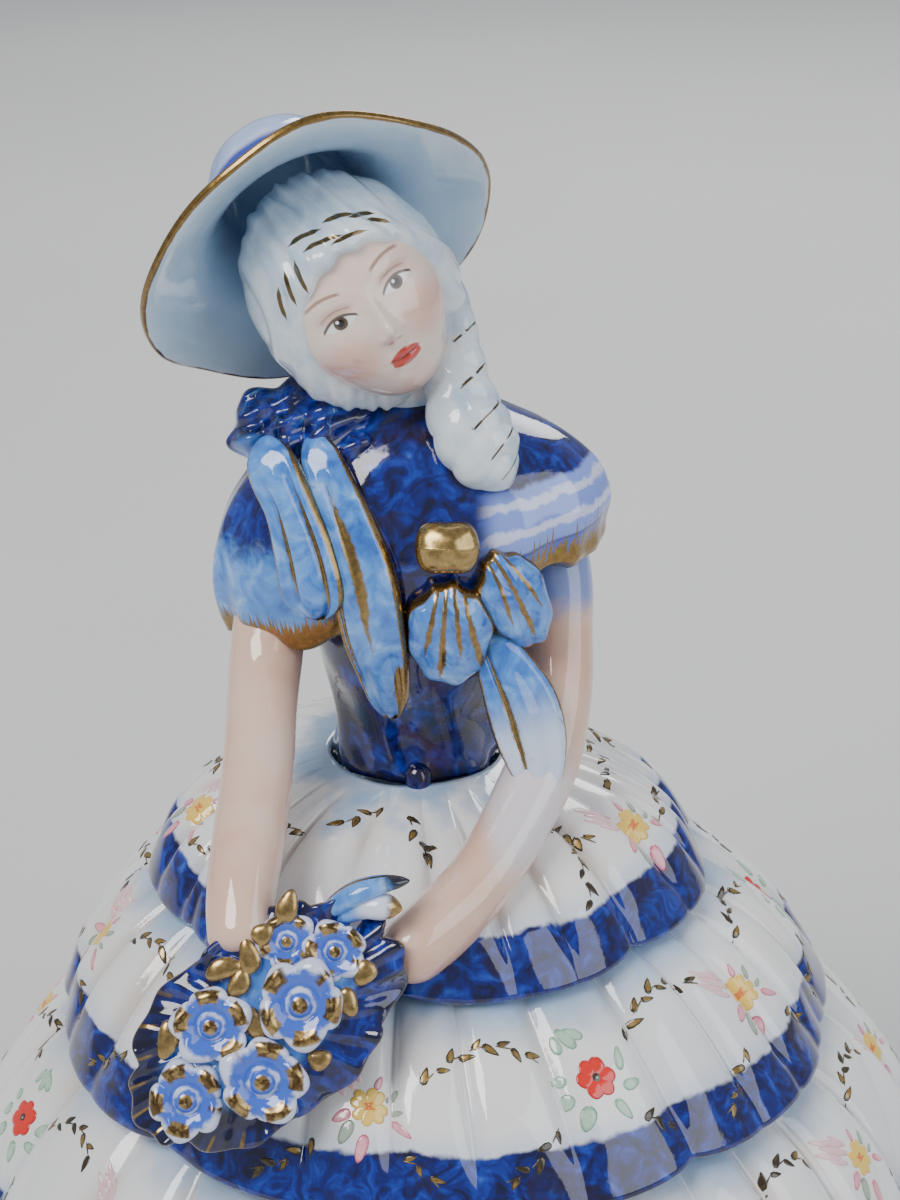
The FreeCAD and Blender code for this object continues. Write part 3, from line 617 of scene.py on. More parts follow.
SPRIG_PAINTS = [
    ("sprig_blush", blush, enamel("blush_enamel", (0.84, 0.60, 0.62), (0.76, 0.38, 0.46))),
    ("sprig_pink", pink, enamel("pink_enamel", (0.84, 0.46, 0.52), (0.62, 0.07, 0.16), 0.8)),
    ("sprig_grey_leaves", grey_green,
     enamel("grey_enamel", (0.44, 0.52, 0.44), (0.16, 0.24, 0.17), 0.8)),
    ("sprig_green", green, enamel("green_enamel", (0.50, 0.68, 0.54), (0.12, 0.34, 0.20), 0.7)),
    ("sprig_yellow", yellow, enamel("yellow_enamel", (0.86, 0.62, 0.14), (0.80, 0.44, 0.05))),
    ("sprig_amber", amber, enamel("amber_enamel", (0.80, 0.24, 0.04), (0.66, 0.10, 0.03))),
    ("sprig_red", red, enamel("red_enamel", (0.80, 0.035, 0.02), (0.50, 0.008, 0.012), 0.7)),
    ("sprig_poppy_eye", dark, enamel("eye_enamel", (0.06, 0.04, 0.03), (0.02, 0.02, 0.02))),
    ("sprig_gold", gold_leaves, gold_enamel("gold_enamel")),
]
for name, marks, paint in SPRIG_PAINTS:
    if marks:
        fit(dabs(name, np.concatenate(marks), 10 if name == "sprig_gold" else 14), paint,
            "gold_lustre" if name == "sprig_gold" else "skirt_porcelain")


# ---- The bodice ----------------------------------------------------------------------------
# The trunk is cast hollow and stands in the waist of the skirt. Cobalt all over, pooled almost
# black under the bust, with one small knob pressed on at the point of the waist.

NECK = np.array([TRUNK_X, 0.0, corners("bodice")[1][2]])
WAIST = np.array([TRUNK_X, 0.0, WAIST_Z])


def smooth(points, rows):
    """A Catmull-Rom curve through rows of numbers, sampled evenly from first to last."""
    points = np.array(points, dtype=float)
    first, last = 2 * points[0] - points[1], 2 * points[-1] - points[-2]
    ends = np.concatenate([[first], points, [last]])
    t = np.linspace(0, len(points) - 1, rows)
    i = np.minimum(t.astype(int), len(points) - 2)
    f = (t - i)[:, None]
    a, b, c, d = (ends[i + n] for n in range(4))
    return 0.5 * (2 * b + (c - a) * f + (2 * a - 5 * b + 4 * c - d) * f ** 2
                  + (3 * b - a - 3 * c + d) * f ** 3)


def sweep(path, side, rows=80, columns=56, square=1.0, blunt=0.06):
    """A closed limb or tongue along path, whose rows are x, y, z, half width, half thickness.

    Each ring is an oval square to the path, its width along side; square under 1 makes it
    boxier. Over the share blunt of the length the ends close in a quarter circle."""
    line = smooth(path, rows)
    t = np.linspace(0, 1, rows)
    t = np.where(t < 0.5, 2 * t * t, 1 - 2 * (1 - t) ** 2) if blunt else t
    line = np.stack([np.interp(t, np.linspace(0, 1, rows), line[:, n]) for n in range(5)], axis=1)
    centre = line[:, :3]
    ahead = np.gradient(centre, axis=0)
    ahead /= np.linalg.norm(ahead, axis=1)[:, None] + 1e-9
    out = np.cross(ahead, side)
    out /= np.linalg.norm(out, axis=1)[:, None]
    wide = np.cross(out, ahead)
    near = np.clip(np.minimum(t, 1 - t) / max(blunt, 1e-6), 0.0, 1.0)
    cap = np.sqrt(np.clip(1 - (1 - near) ** 2, 0.0016, 1.0)) if blunt else np.ones(rows)
    turn = np.linspace(0, 2 * np.pi, columns, endpoint=False)
    c, s = np.cos(turn), np.sin(turn)
    a = np.sign(c) * np.abs(c) ** square * (line[:, 3] * cap)[:, None]
    b = np.sign(s) * np.abs(s) ** square * (line[:, 4] * cap)[:, None]
    grid = centre[:, None] + wide[:, None] * a[..., None] + out[:, None] * b[..., None]
    return grid, t, turn, out


def trunk_grid():
    """The trunk as level ovals from the waist to the neck, with soft wrinkles at the waist."""
    rows = np.array([(0.0, 0.0, 11.9, 10.8), (8, -0.4, 11.4, 9.6), (17, -1.0, 13.6, 11.4),
                     (29, -2.6, 16.0, 13.2), (39, -1.4, 18.5, 12.0), (47, 0.2, 15.0, 9.4),
                     (53, 0.5, 8.2, 7.4)])
    line = smooth(rows, 90)
    turn = np.linspace(0, 2 * np.pi, 120, endpoint=False)[None, :]
    up = line[:, 0:1]
    crease = 0.35 * np.sin(7 * turn + 0.35 * up) * (1 - eased(up, 6.0, 24.0))
    x = WAIST[0] + (line[:, 2:3] + crease) * np.cos(turn)
    y = line[:, 1:2] + (line[:, 3:4] + crease) * np.sin(turn)
    return np.stack([x, y, WAIST[2] - 0.6 + up + 0 * turn], axis=-1)


kiln = Kiln("bodice_paint")
place = kiln.noise(0.10, 3.0, 0.6)
shade = kiln.mix(kiln.step(place, 0.42, 0.62), kiln.cobalt(), (0.002, 0.003, 0.030))
bodice = skin("painted_bodice", trunk_grid(), np.linspace(0, 1, 90))
fit(bodice, kiln.glaze(shade), "cobalt_glaze", "bodice")

knob_path = [(*(WAIST + (0.4, -10.2, 2.6)), 1.5, 1.5), (*(WAIST + (0.5, -11.4, 1.0)), 1.9, 1.7),
             (*(WAIST + (0.6, -12.0, -0.6)), 1.7, 1.5), (*(WAIST + (0.6, -12.1, -2.0)), 1.0, 0.9)]
knob = sweep(knob_path, (1, 0, 0), 30, 28, blunt=0.3)[0]
fit(skin("waist_knob", knob, np.linspace(0, 1, 30)), kiln.material, "cobalt_glaze")


# ---- The arms ------------------------------------------------------------------------------
# Two bare arms cast solid, luted on under the cape; both hands are folded behind the bouquet.
# A thin flesh wash under clear glaze, pinker in the crook of the elbow, blue where the sleeve
# bled into it.


def on(origin, rows):
    """Path rows with their offsets moved to an origin."""
    return [(*(origin + np.array(row[:3])), *row[3:]) for row in rows]


RIGHT_ARM = on(NECK, [(-17.0, 0, -16, 4.6, 4.6), (-19.6, -3, -26, 5.0, 4.9),
                      (-20.6, -8, -35, 5.1, 4.9), (-21.0, -14, -40, 4.9, 4.9)])
RIGHT_ARM += on(WAIST, [(-21.2, -23, 7, 4.9, 4.9), (-22.0, -32, 1.6, 4.9, 4.8),
                        (-22.6, -39.5, -3.4, 4.6, 4.5), (-22.0, -45.0, -8, 4.4, 3.8)])
LEFT_ARM = on(NECK, [(16.5, 1, -14, 4.6, 4.6), (19.8, -1.5, -24, 4.9, 4.9),
                     (20.2, -5, -33, 4.9, 4.9), (19.9, -9, -40, 5.0, 5.0)])
LEFT_ARM += on(WAIST, [(18.2, -15, 5.8, 5.0, 4.9), (14.6, -22, 0.6, 4.9, 4.7),
                       (9.8, -30, -4, 4.6, 4.7), (3.8, -36.6, -8.2, 4.7, 5.7),
                       (-3.5, -41.5, -12.2, 4.4, 5.6)])

kiln = Kiln("flesh_paint")
x, _, z = kiln.axes(kiln.place())
warm = kiln.ramp(kiln.noise(0.06, 2.0), (0.35, (0.76, 0.50, 0.38)), (0.65, (0.82, 0.60, 0.49)))
pinker = kiln.step(kiln.noise(0.09, 2.0), 0.50, 0.68)
flesh = kiln.mix(pinker * 0.6, warm, (0.74, 0.41, 0.30))
bleed = kiln.step(z + kiln.noise(0.25, 3.0) * 7.0, NECK[2] - 27.0, NECK[2] - 22.0)
flesh = kiln.mix(bleed * 0.85, flesh, (0.13, 0.26, 0.66))
under_sash = kiln.dot(x, z, (WAIST[0] + 15.5, WAIST[2] + 5.0), (6.0, 8.0), 0.6)
flesh = kiln.mix(under_sash * 0.6, flesh, (0.70, 0.76, 0.88))
flesh_paint = kiln.glaze(flesh)
for name, path in (("right_arm", RIGHT_ARM), ("left_arm", LEFT_ARM)):
    grid = sweep(path, (1, 0, 0), 110, 56)[0]
    fit(skin("painted_" + name, grid, np.linspace(0, 1, 110)), flesh_paint, "flesh_glaze", name)


# ---- The shoulder cape ---------------------------------------------------------------------
# A short cape with a puffed sleeve to her right and a turned-back hem to her left, pressed as
# one shell. Cobalt, with paler blue low down and a ragged edge of gold drawn in short strokes.

CAPE = [(0.3, 1.0, 6.4, 6.2, 0.0), (0.3, -0.4, 9.8, 8.4, 0.05), (0.0, -2.6, 14.6, 10.4, 0.15),
        (-0.5, -6.0, 20.4, 12.6, 0.28), (-1.0, -11.0, 25.0, 14.6, 0.45),
        (-1.3, -16.0, 26.9, 15.6, 0.62), (-1.5, -20.5, 27.3, 15.7, 0.78),
        (-1.5, -24.2, 26.7, 15.0, 0.92), (-1.3, -26.0, 25.9, 14.3, 1.0)]
CAPE_SLOPE = 0.24
CAPE_WALL = 2.2


def cape_grid():
    """Ovals from the neck to the hem, rounded there and back up the inside.

    The outside swells and dips by slow waves: the puff on her right, folds over her left."""
    rows = smooth(CAPE, 64)
    turn = np.linspace(0, 2 * np.pi, 260, endpoint=False)[None, :]
    t = np.linspace(0, 1, 64)[:, None]
    c, s = np.cos(turn), np.sin(turn)
    puff = 0.9 * np.exp(-((t - 0.72) / 0.22) ** 2) * eased(-c, 0.3, 0.95)
    folds = 0.30 * t * np.sin(13 * turn + 3 * t) + 0.35 * t ** 3 * np.sin(19 * turn + 1.0)
    lip = 0.9 * np.exp(-((t - 0.80) / 0.09) ** 2) * eased(c, 0.35, 0.8)
    swell = puff + folds - lip * 0.7
    slope = CAPE_SLOPE * rows[:, 4:5]
    hem_wave = (0.9 * np.sin(7 * turn + 0.6) + 0.5 * np.sin(15 * turn)) * t ** 8
    dip = -1.6 * np.exp(-((turn - 3.95) / 0.30) ** 2) * t ** 4

    def ring_at(grow, drop):
        x = NECK[0] + (rows[:, 2:3] + swell + grow) * c
        y = rows[:, 0:1] + 0.6 + (rows[:, 3:4] + swell + grow) * s
        z = NECK[2] + rows[:, 1:2] + slope * (rows[:, 2:3] + grow) * c + hem_wave + dip + drop
        return np.stack([x, y, z], axis=-1)

    outside, inside = ring_at(0.0, 0.0), ring_at(-CAPE_WALL, 0.6)[::-1]
    middle = ring_at(-CAPE_WALL / 2, -0.5)[-1:]
    return np.concatenate([outside, middle, inside])


cape_v = np.concatenate([np.linspace(0, 1, 64), [1.02], np.linspace(1.04, 1.5, 64)])

kiln = Kiln("cape_paint")
around, down = kiln.painted()
x, _, _ = kiln.axes(kiln.place())
body = kiln.cobalt()
rag = kiln.noise(0.30, 4.0, 0.8)
fine = kiln.node("ShaderNodeTexNoise", {"noise_dimensions": "1D"},
                 {"W": around * 300.0, "Scale": 1.0, "Detail": 1.0})
her_right = kiln.step(x, NECK[0] - 10.0, NECK[0] - 15.0)
her_left = kiln.step(x, NECK[0] + 8.0, NECK[0] + 12.0)
low = down + (rag - 0.5) * 0.16
mid_blue = kiln.step(low, 0.56, 0.66) * her_right
colour = kiln.mix(mid_blue, body, kiln.sky())
band = down + (rag - 0.5) * 0.04
lavender = kiln.step(band, 0.46, 0.48) * kiln.step(band, 0.73, 0.71) * her_left
# Painted highlights: pale lines running along the lavender band.
streaks = kiln.step((down * 58.0 + rag * 5.0).sine(), 0.1, 0.9)
lavender_with_highlights = kiln.mix(streaks, (0.22, 0.32, 0.80), (0.62, 0.67, 0.92))
colour = kiln.mix(lavender, colour, lavender_with_highlights)
under_band = kiln.step(band, 0.72, 0.74) * her_left
colour = kiln.mix(under_band, colour, (0.05, 0.12, 0.56))
fringe = kiln.step(down + (fine - 0.5) * (her_left * 0.16 + 0.16) + her_left * 0.09, 0.835, 0.87)
fringe = fringe * kiln.step(down, 1.05, 1.03)
fit(skin("painted_cape", cape_grid(), cape_v, ring=True),
    kiln.glaze(colour, fringe, gold_colour=(0.44, 0.27, 0.07)), "cobalt_glaze", "shoulder_cape")


# ---- The head ------------------------------------------------------------------------------
# One hollow casting: a calm, plain face, a slim neck and the mass of the hair, tilted to her
# right with the chin a little up. Flesh wash rubbed pink on the cheeks; brows, lids, eyes and
# lips drawn with a fine brush; the hair left nearly white, washed blue, with dark gold strands.

HEAD_AT = NECK + (-7.6, -6.0, 17.0)
FACE_HALF = (11.5, 15.4, 12.5)
TURNED, LIFTED, TILTED = (math.radians(a) for a in (12.0, 10.0, 33.5))


def unit(vector):
    """vector with length 1."""
    vector = np.array(vector, dtype=float)
    return vector / np.linalg.norm(vector)


def head_axes():
    """Three unit vectors: across the face to the viewer's right, up the face, and out of it."""
    out = np.array([math.sin(TURNED) * math.cos(LIFTED), -math.cos(TURNED) * math.cos(LIFTED),
                    math.sin(LIFTED)])
    level = unit(np.cross((0, 0, 1), out))
    up = np.cross(out, level) * math.cos(TILTED) - level * math.sin(TILTED)
    return np.stack([np.cross(up, out), up, out])


def bump(x, y, at, size, high):
    """A soft round mound: high at a point, falling away over an oval of that size."""
    return high * np.exp(-((x - at[0]) / size[0]) ** 2 - ((y - at[1]) / size[1]) ** 2)


def face_grid():
    """An egg with the jaw drawn in, and mounds and hollows for brow, eyes, nose, lips, chin."""
    polar = np.linspace(0.0, np.pi, 152)[1:-1][:, None]
    turn = np.linspace(0, 2 * np.pi, 260, endpoint=False)[None, :]
    wide, tall, deep = FACE_HALF
    x = wide * np.sin(polar) * np.sin(turn)
    y = tall * np.cos(polar) + 0 * turn
    z = deep * np.sin(polar) * np.cos(turn)
    jaw = 1 - 0.15 * eased(-y, 1.0, 14.0)
    x = x * jaw
    front = eased(np.cos(turn) * np.sin(polar), 0.10, 0.45)
    side = np.abs(x)
    relief = bump(x, y, (0, -4.2), (1.15, 1.5), 1.9) + bump(x, y, (0, -1.2), (0.95, 3.0), 0.9)
    relief += bump(side, y, (1.25, -4.8), (0.65, 0.6), 0.5)
    relief += bump(side, y, (4.5, 0.2), (2.6, 1.7), -0.75)
    relief += bump(side, y, (4.5, 0.1), (1.8, 0.9), 0.50) + bump(side, y, (4.4, 3.2), (3.0, 1.3), 0.30)
    relief += bump(side, y, (5.9, -4.6), (2.8, 2.8), 0.55)
    relief += bump(x, y, (0, -7.75), (1.9, 0.55), 0.50) + bump(x, y, (0, -8.95), (1.6, 0.6), 0.55)
    relief += bump(x, y, (0, -8.35), (2.0, 0.18), -0.35) + bump(x, y, (0, -10.3), (1.6, 0.6), -0.3)
    relief += bump(x, y, (0, -12.6), (2.6, 1.7), 0.8)
    z = z + relief * front
    return np.stack([x, y, z], axis=-1)


HEAD_AXES = head_axes()
local = face_grid()
face = skin("painted_face", HEAD_AT + local @ HEAD_AXES, np.linspace(0, 1, 150), local=local)

kiln = Kiln("face_paint")
here = kiln.node("ShaderNodeAttribute", {"attribute_name": "local"}, out="Vector")
x, y, _ = kiln.axes(here)
side = abs(x)
skin_tone = kiln.ramp(kiln.noise(0.08, 2.0), (0.3, (0.80, 0.63, 0.54)), (0.7, (0.84, 0.69, 0.61)))
cheek = kiln.dot(side, y, (6.0, -5.2), (3.6, 3.2), 0.95)
colour = kiln.mix(cheek * 0.55, skin_tone, (0.80, 0.36, 0.27))
colour = kiln.mix(kiln.dot(x, y, (0.0, -12.9), (3.0, 1.8), 0.95) * 0.35, colour, (0.80, 0.40, 0.31))
lid_shade = kiln.dot(side, y, (4.5, 1.5), (2.5, 1.0), 0.8)
colour = kiln.mix(lid_shade * 0.40, colour, (0.60, 0.28, 0.22))
nostril = kiln.dot(side, y, (0.75, -5.6), (0.42, 0.22), 0.7)
colour = kiln.mix(nostril * 0.7, colour, (0.62, 0.22, 0.17))
lip = side * side * 0.16
upper_lip = kiln.step(y + lip, -7.05, -7.3) * kiln.step(y - lip * 0.3, -8.5, -8.3)
lower_lip = kiln.step(y - lip * 0.75, -9.75, -9.45) * kiln.step(y, -8.2, -8.4)
mouth = upper_lip.most(lower_lip) * kiln.step(side, 2.3, 2.0)
colour = kiln.mix(mouth, colour, (0.58, 0.055, 0.035))
parting = kiln.step(abs(y + 8.36 - lip * 0.25), 0.15, 0.05) * kiln.step(side, 2.5, 2.0)
colour = kiln.mix(parting * 0.8, colour, (0.22, 0.012, 0.012))
bow = (side - 4.5) * (side - 4.5)
white_of_eye = kiln.step(y + bow * 0.17, 1.05, 0.9) * kiln.step(y - bow * 0.13, -0.75, -0.6)
colour = kiln.mix(white_of_eye, colour, (0.86, 0.87, 0.88))
iris = kiln.dot(side, y, (4.45, 0.22), (0.92, 0.92), 0.25) * white_of_eye
colour = kiln.mix(iris, colour, (0.085, 0.050, 0.030))
pupil = kiln.dot(side, y, (4.45, 0.24), (0.5, 0.5), 0.3) * white_of_eye
colour = kiln.mix(pupil, colour, (0.006, 0.005, 0.006))
glint = kiln.dot(x, y, (4.15, 0.55), (0.22, 0.22), 0.4)
glint = glint.most(kiln.dot(x, y, (-4.75, 0.55), (0.22, 0.22), 0.4))
colour = kiln.mix(glint, colour, (0.92, 0.92, 0.92))
lash = kiln.step(abs(y + bow * 0.165 - 1.05), 0.30, 0.12) * kiln.step(abs(side - 4.5), 2.6, 2.3)
colour = kiln.mix(lash * 0.9, colour, (0.035, 0.018, 0.014))
crease = kiln.step(abs(y + bow * 0.12 - 1.95), 0.20, 0.06) * kiln.step(abs(side - 4.5), 2.3, 1.9)
colour = kiln.mix(crease * 0.6, colour, (0.40, 0.17, 0.13))
brow = (side - 5.0) * (side - 5.0)
arch = kiln.step(abs(y + brow * 0.085 - 4.1), 0.34, 0.10) * kiln.step(abs(side - 4.9), 2.8, 2.0)
colour = kiln.mix(arch * 0.75, colour, (0.24, 0.11, 0.06))
fit(face, kiln.glaze(colour, rough=0.10), "face_and_hair", "head")

# The neck and the strip of throat beside the braid.
neck_rows = [(-0.2, 0.5, -1.5, 6.2, 6.0), (-1.0, -0.2, 3.0, 5.6, 5.5), (-2.6, -1.2, 7.0, 5.5, 5.5),
             (-5.0, -2.2, 12.0, 5.8, 5.6)]
kiln = Kiln("neck_paint")
_, _, z = kiln.axes(kiln.place())
base = kiln.step(z + kiln.noise(0.3, 2.0) * 3.0, NECK[2] + 5.0, NECK[2] + 1.5)
colour = kiln.mix(base, (0.78, 0.76, 0.76), (0.40, 0.58, 0.80))
neck_grid = sweep(on(NECK, neck_rows), (1, 0, 0), 40, 64, blunt=0.0)[0]
fit(skin("painted_neck", neck_grid, np.linspace(0, 1, 40)), kiln.glaze(colour), "flesh_glaze")


# ---- The hair ------------------------------------------------------------------------------
# Modelled with the head: locks combed from a parting over the brow and down both sides of the
# face, gathered behind her left ear into the braid. White, washed pale blue in the hollows.

HAIR_HALF = (13.3, 16.9, 12.6)
HAIR_BACK = 2.2


def hair_grid():
    """A larger egg set back from the face, furrowed along the locks.

    Inside an oval opening it sinks under the face; round the rim it swells as a rolled edge,
    and over the forehead a fringe stands further out."""
    polar = np.linspace(0.0, np.pi, 172)[1:-1][:, None]
    turn = np.linspace(0, 2 * np.pi, 300, endpoint=False)[None, :]
    wide, tall, deep = HAIR_HALF
    x = np.sin(polar) * np.sin(turn)
    y = np.cos(polar) + 0 * turn
    z = np.sin(polar) * np.cos(turn)
    parted = x * wide + 2.2
    opening = ((x * wide - 0.4) / 10.0) ** 2 + ((y * tall + 6.3) / 12.2) ** 2
    opening = np.sqrt(opening) + 0.070 * np.sin(parted * 1.7) * eased(y, 0.2, 0.7)
    front = eased(z, 0.0, 0.25)
    sink = -4.2 * eased(1.08 - opening, 0.0, 0.22) * front
    roll = 0.95 * np.exp(-((opening - 1.20) / 0.15) ** 2) * front
    comb = np.abs(parted) * 1.15 + y * tall * 0.35
    locks = 0.42 * np.abs(np.sin(comb * 0.95 + 0.6 * np.sin(y * 6)))
    locks += 0.15 * np.sin(comb * 3.1 + 4 * z)
    grow = 1 + (sink + roll + locks * (opening > 0.9)) / np.hypot(wide, tall) * 1.35
    fringe = 3.0 * np.exp(-((y * tall - 9.0) / 5.2) ** 2 - (x * wide / 9.5) ** 4)
    fringe = fringe * eased(opening, 1.0, 1.12) * front
    points = np.stack([x * wide, y * tall, z * deep - HAIR_BACK], axis=-1) * grow[..., None]
    points[..., 2] += fringe
    return points


local = hair_grid()
hair = skin("painted_hair", HEAD_AT + local @ HEAD_AXES, np.linspace(0, 1, 170), local=local)


def hair_colours(kiln):
    """White slip washed with pale blue that settles unevenly."""
    wash = kiln.noise(0.16, 3.0, 0.6)
    return kiln.ramp(wash, (0.34, (0.46, 0.60, 0.72)), (0.52, (0.66, 0.75, 0.82)),
                     (0.70, (0.80, 0.83, 0.86)))


kiln = Kiln("hair_paint")
here = kiln.node("ShaderNodeAttribute", {"attribute_name": "local"}, out="Vector")
x, y, z = kiln.axes(here)
colour = hair_colours(kiln)

# Each stroke of the brush: its middle, its way across and up, and its length.
STRANDS = [(-9.0, 6.2, 0.38, 1.0, 4.4), (-7.1, 7.6, 0.32, 1.0, 4.8), (-5.2, 8.0, 0.24, 1.0, 4.4),
           (-1.6, 11.8, 1.0, -0.12, 4.6), (-0.2, 10.2, 1.0, -0.20, 5.4), (3.4, 11.2, 1.0, -0.36, 4.2),
           (3.0, 8.8, 1.0, -0.30, 5.2), (6.0, 9.6, 1.0, -0.60, 3.6), (7.4, 7.6, 0.8, -0.8, 3.2)]
strands = None
for sx, sy, ux, uy, reach in STRANDS:
    length = math.hypot(ux, uy)
    ux, uy = ux / length, uy / length
    ahead = (x - sx) * ux + (y - sy) * uy
    off = (y - sy) * ux - (x - sx) * uy + ahead * ahead * 0.05
    slim = kiln.step(abs(ahead), reach / 2 + 0.1, reach / 4) * 0.22 + 0.02
    mark = kiln.step(abs(off) - slim, 0.07, -0.05) * kiln.step(abs(ahead), reach / 2 + 0.2, reach / 2)
    strands = mark if strands is None else strands.most(mark)
strands = strands * kiln.step(z, 0.0, 2.0)
fit(hair, kiln.glaze(colour, strands, 0.09, (0.16, 0.11, 0.04)), "face_and_hair")


# ---- The braid -----------------------------------------------------------------------------
# A thick plait laid over her left shoulder, rolled and scored by hand before firing, with a
# herringbone of dark strokes down one side.

BRAID = on(NECK, [(3.2, 3.0, 17.5, 2.4, 2.0), (4.8, -1.6, 13.6, 3.0, 2.6), (5.6, -5.4, 9.0, 3.6, 3.0),
                  (6.2, -8.6, 4.4, 4.5, 3.6), (7.6, -10.8, 0.2, 5.3, 4.0),
                  (10.0, -12.2, -4.0, 4.8, 3.6), (12.8, -12.6, -8.0, 2.0, 1.8)])


def braid_grid():
    """A tapering tongue whose surface swells in two slanting rows of locks."""
    grid, t, turn, _ = sweep(BRAID, (1, 0.25, 0.35), 130, 90, blunt=0.10)
    centre = grid.mean(axis=1, keepdims=True)
    slant = 44 * t[:, None] + 2.2 * np.abs(((turn - 1.2) % (2 * np.pi)) - np.pi)[None, :]
    swell = 0.10 * np.abs(np.sin(slant / 2)) - 0.04
    seam = -0.05 * np.exp(-((turn - np.pi / 2) / 0.16) ** 2)[None, :]
    return centre + (grid - centre) * (1 + (swell + seam))[..., None]


kiln = Kiln("braid_paint")
around, along = kiln.painted()
colour = hair_colours(kiln)
fold = abs(around - 0.25)
bars = (along * 62.0 + fold * 18.0) * 0.5
bars = abs(bars.sine())
thin = kiln.step(bars, 0.16, 0.05)
where = kiln.step(around, 0.05, 0.08) * kiln.step(around, 0.27, 0.24) * kiln.step(along, 0.26, 0.32)
broken = kiln.step(kiln.noise(0.5, 1.0), 0.36, 0.44)
fit(skin("painted_braid", braid_grid(), np.linspace(0, 1, 130)),
    kiln.glaze(colour, thin * where * broken, 0.09, (0.13, 0.09, 0.035)), "hair_glaze", "braid")


# ---- The hat -------------------------------------------------------------------------------
# A wide sun hat cast thin in one piece with a small round crown, set on the back of the head.
# Lilac-white above, blue round the crown, a grey-blue wash under the brim painted darker towards
# the crown as painted shade, and a line of liquid gold drawn along the wavy rim by hand.

HAT_TILT = math.radians(-133.0)
HAT_TURN = math.radians(-12.0)
HAT_CENTRE = (-0.6, 7.0, -1.6)
HAT_ROWS = [(0.6, 20.0, 0.0), (4.6, 19.5, 0.0), (7.6, 17.9, 0.0), (9.5, 15.0, 0.0),
            (10.3, 12.2, 0.0), (12.0, 9.3, 0.05), (15.4, 6.7, 0.25), (19.4, 3.6, 0.6),
            (22.8, 1.2, 0.85), (24.7, 0.1, 1.0), (24.95, -0.5, 1.0), (24.5, -1.0, 1.0),
            (22.4, -0.2, 0.85), (18.4, 1.9, 0.6), (13.6, 5.0, 0.2), (9.6, 9.4, 0.0),
            (8.0, 13.4, 0.0), (5.4, 16.8, 0.0), (0.6, 18.2, 0.0)]


def hat_grid():
    """Rings of the section turned round the crown; the front of the brim is lifted, and the
    rim rises and falls in a few slow, uneven waves."""
    rows = smooth(HAT_ROWS, 150)
    turn = np.linspace(0, 2 * np.pi, 300, endpoint=False)[None, :]
    r, h, share = (rows[:, n:n + 1] for n in range(3))
    wave = 0.55 * np.sin(3 * turn + 0.4) + 0.35 * np.sin(5 * turn + 2.0) + 0.2 * np.sin(8 * turn)
    h = h + 1.4 * share * np.maximum(0.0, -np.sin(turn)) ** 2 + wave * share ** 2
    r = r + 0.35 * share * np.sin(4 * turn + 1.0)
    x, y = r * np.cos(turn), r * np.sin(turn)
    tilted_y = y * math.cos(HAT_TILT) - h * math.sin(HAT_TILT)
    tilted_z = y * math.sin(HAT_TILT) + h * math.cos(HAT_TILT)
    turned_x = x * math.cos(HAT_TURN) - tilted_y * math.sin(HAT_TURN)
    turned_y = x * math.sin(HAT_TURN) + tilted_y * math.cos(HAT_TURN)
    on_head = np.stack([turned_x, turned_y, tilted_z], axis=-1) + HAT_CENTRE
    return HEAD_AT + on_head @ HEAD_AXES


kiln = Kiln("hat_paint")
_, along = kiln.painted()
cloud = kiln.noise(0.10, 3.0, 0.8)
above = kiln.ramp(cloud, (0.34, (0.60, 0.58, 0.80)), (0.55, (0.74, 0.72, 0.86)),
                  (0.75, (0.82, 0.81, 0.88)))
crown = kiln.ramp(cloud, (0.30, (0.20, 0.34, 0.74)), (0.60, (0.44, 0.56, 0.86)))
above = kiln.mix(kiln.step(along + cloud * 0.06, 0.26, 0.20), above, crown)
ribbon = kiln.step(along + cloud * 0.03, 0.20, 0.225) * kiln.step(along + cloud * 0.03, 0.285, 0.26)
above = kiln.mix(ribbon, above, (0.035, 0.07, 0.42))
# Under the brim: a grey-blue wash, painted darker towards the crown as painted shade.
below = kiln.ramp(along + (cloud - 0.5) * 0.12, (0.56, (0.70, 0.80, 0.88)),
                  (0.68, (0.50, 0.66, 0.80)), (0.80, (0.36, 0.54, 0.76)))
colour = kiln.mix(kiln.step(along, 0.545, 0.565), above, below)
width = kiln.noise(0.22, 2.0) * 0.030
gold = kiln.step(along + width, 0.515, 0.523) * kiln.step(along - width, 0.604, 0.592)
fit(skin("painted_hat", hat_grid(), np.linspace(0, 1, 150)),
    kiln.glaze(colour, gold, gold_colour=(0.40, 0.25, 0.07)), "hat_glaze", "hat")


# ---- The collar and the scarf --------------------------------------------------------------
# Slabs of clay pinched into folds and laid on while soft: a crumpled collar at her right ear,
# and two hanging ends of the scarf below it. Sky blue, each fold and edge picked out in gold.


def axes_from(across, up):
    """Three unit vectors: across, up made square to it, and out of the two."""
    across = unit(across)
    out = unit(np.cross(across, up))
    return np.stack([across, np.cross(out, across), out])


def mound(half, high, below, rows=60, columns=120, outline=None, relief=None):
    """A cushion in its own axes: a dome over a waved outline, and a short skirt below it.

    outline stretches the plan by direction; relief adds height from the plan's x and y."""
    turn = np.linspace(0, 2 * np.pi, columns, endpoint=False)[None, :]
    t = np.linspace(0.02, 1.0, rows)[:, None]
    dome = np.minimum(t / 0.82, 1.0)
    under = np.clip((t - 0.82) / 0.18, 0.0, 1.0)
    share = np.sin(dome * np.pi / 2) * (1 - 0.2 * under)
    stretch = 1.0 if outline is None else outline(turn)
    x = half[0] * share * stretch * np.cos(turn)
    y = half[1] * share * stretch * np.sin(turn)
    z = high * np.cos(dome * np.pi / 2) ** 0.75 - below * under
    if relief is not None:
        z = z + relief(x, y) * (1 - under) * eased(1 - share, 0.0, 0.12)
    return np.stack([x, y, z + 0 * turn], axis=-1), np.linspace(0.02, 1.0, rows)


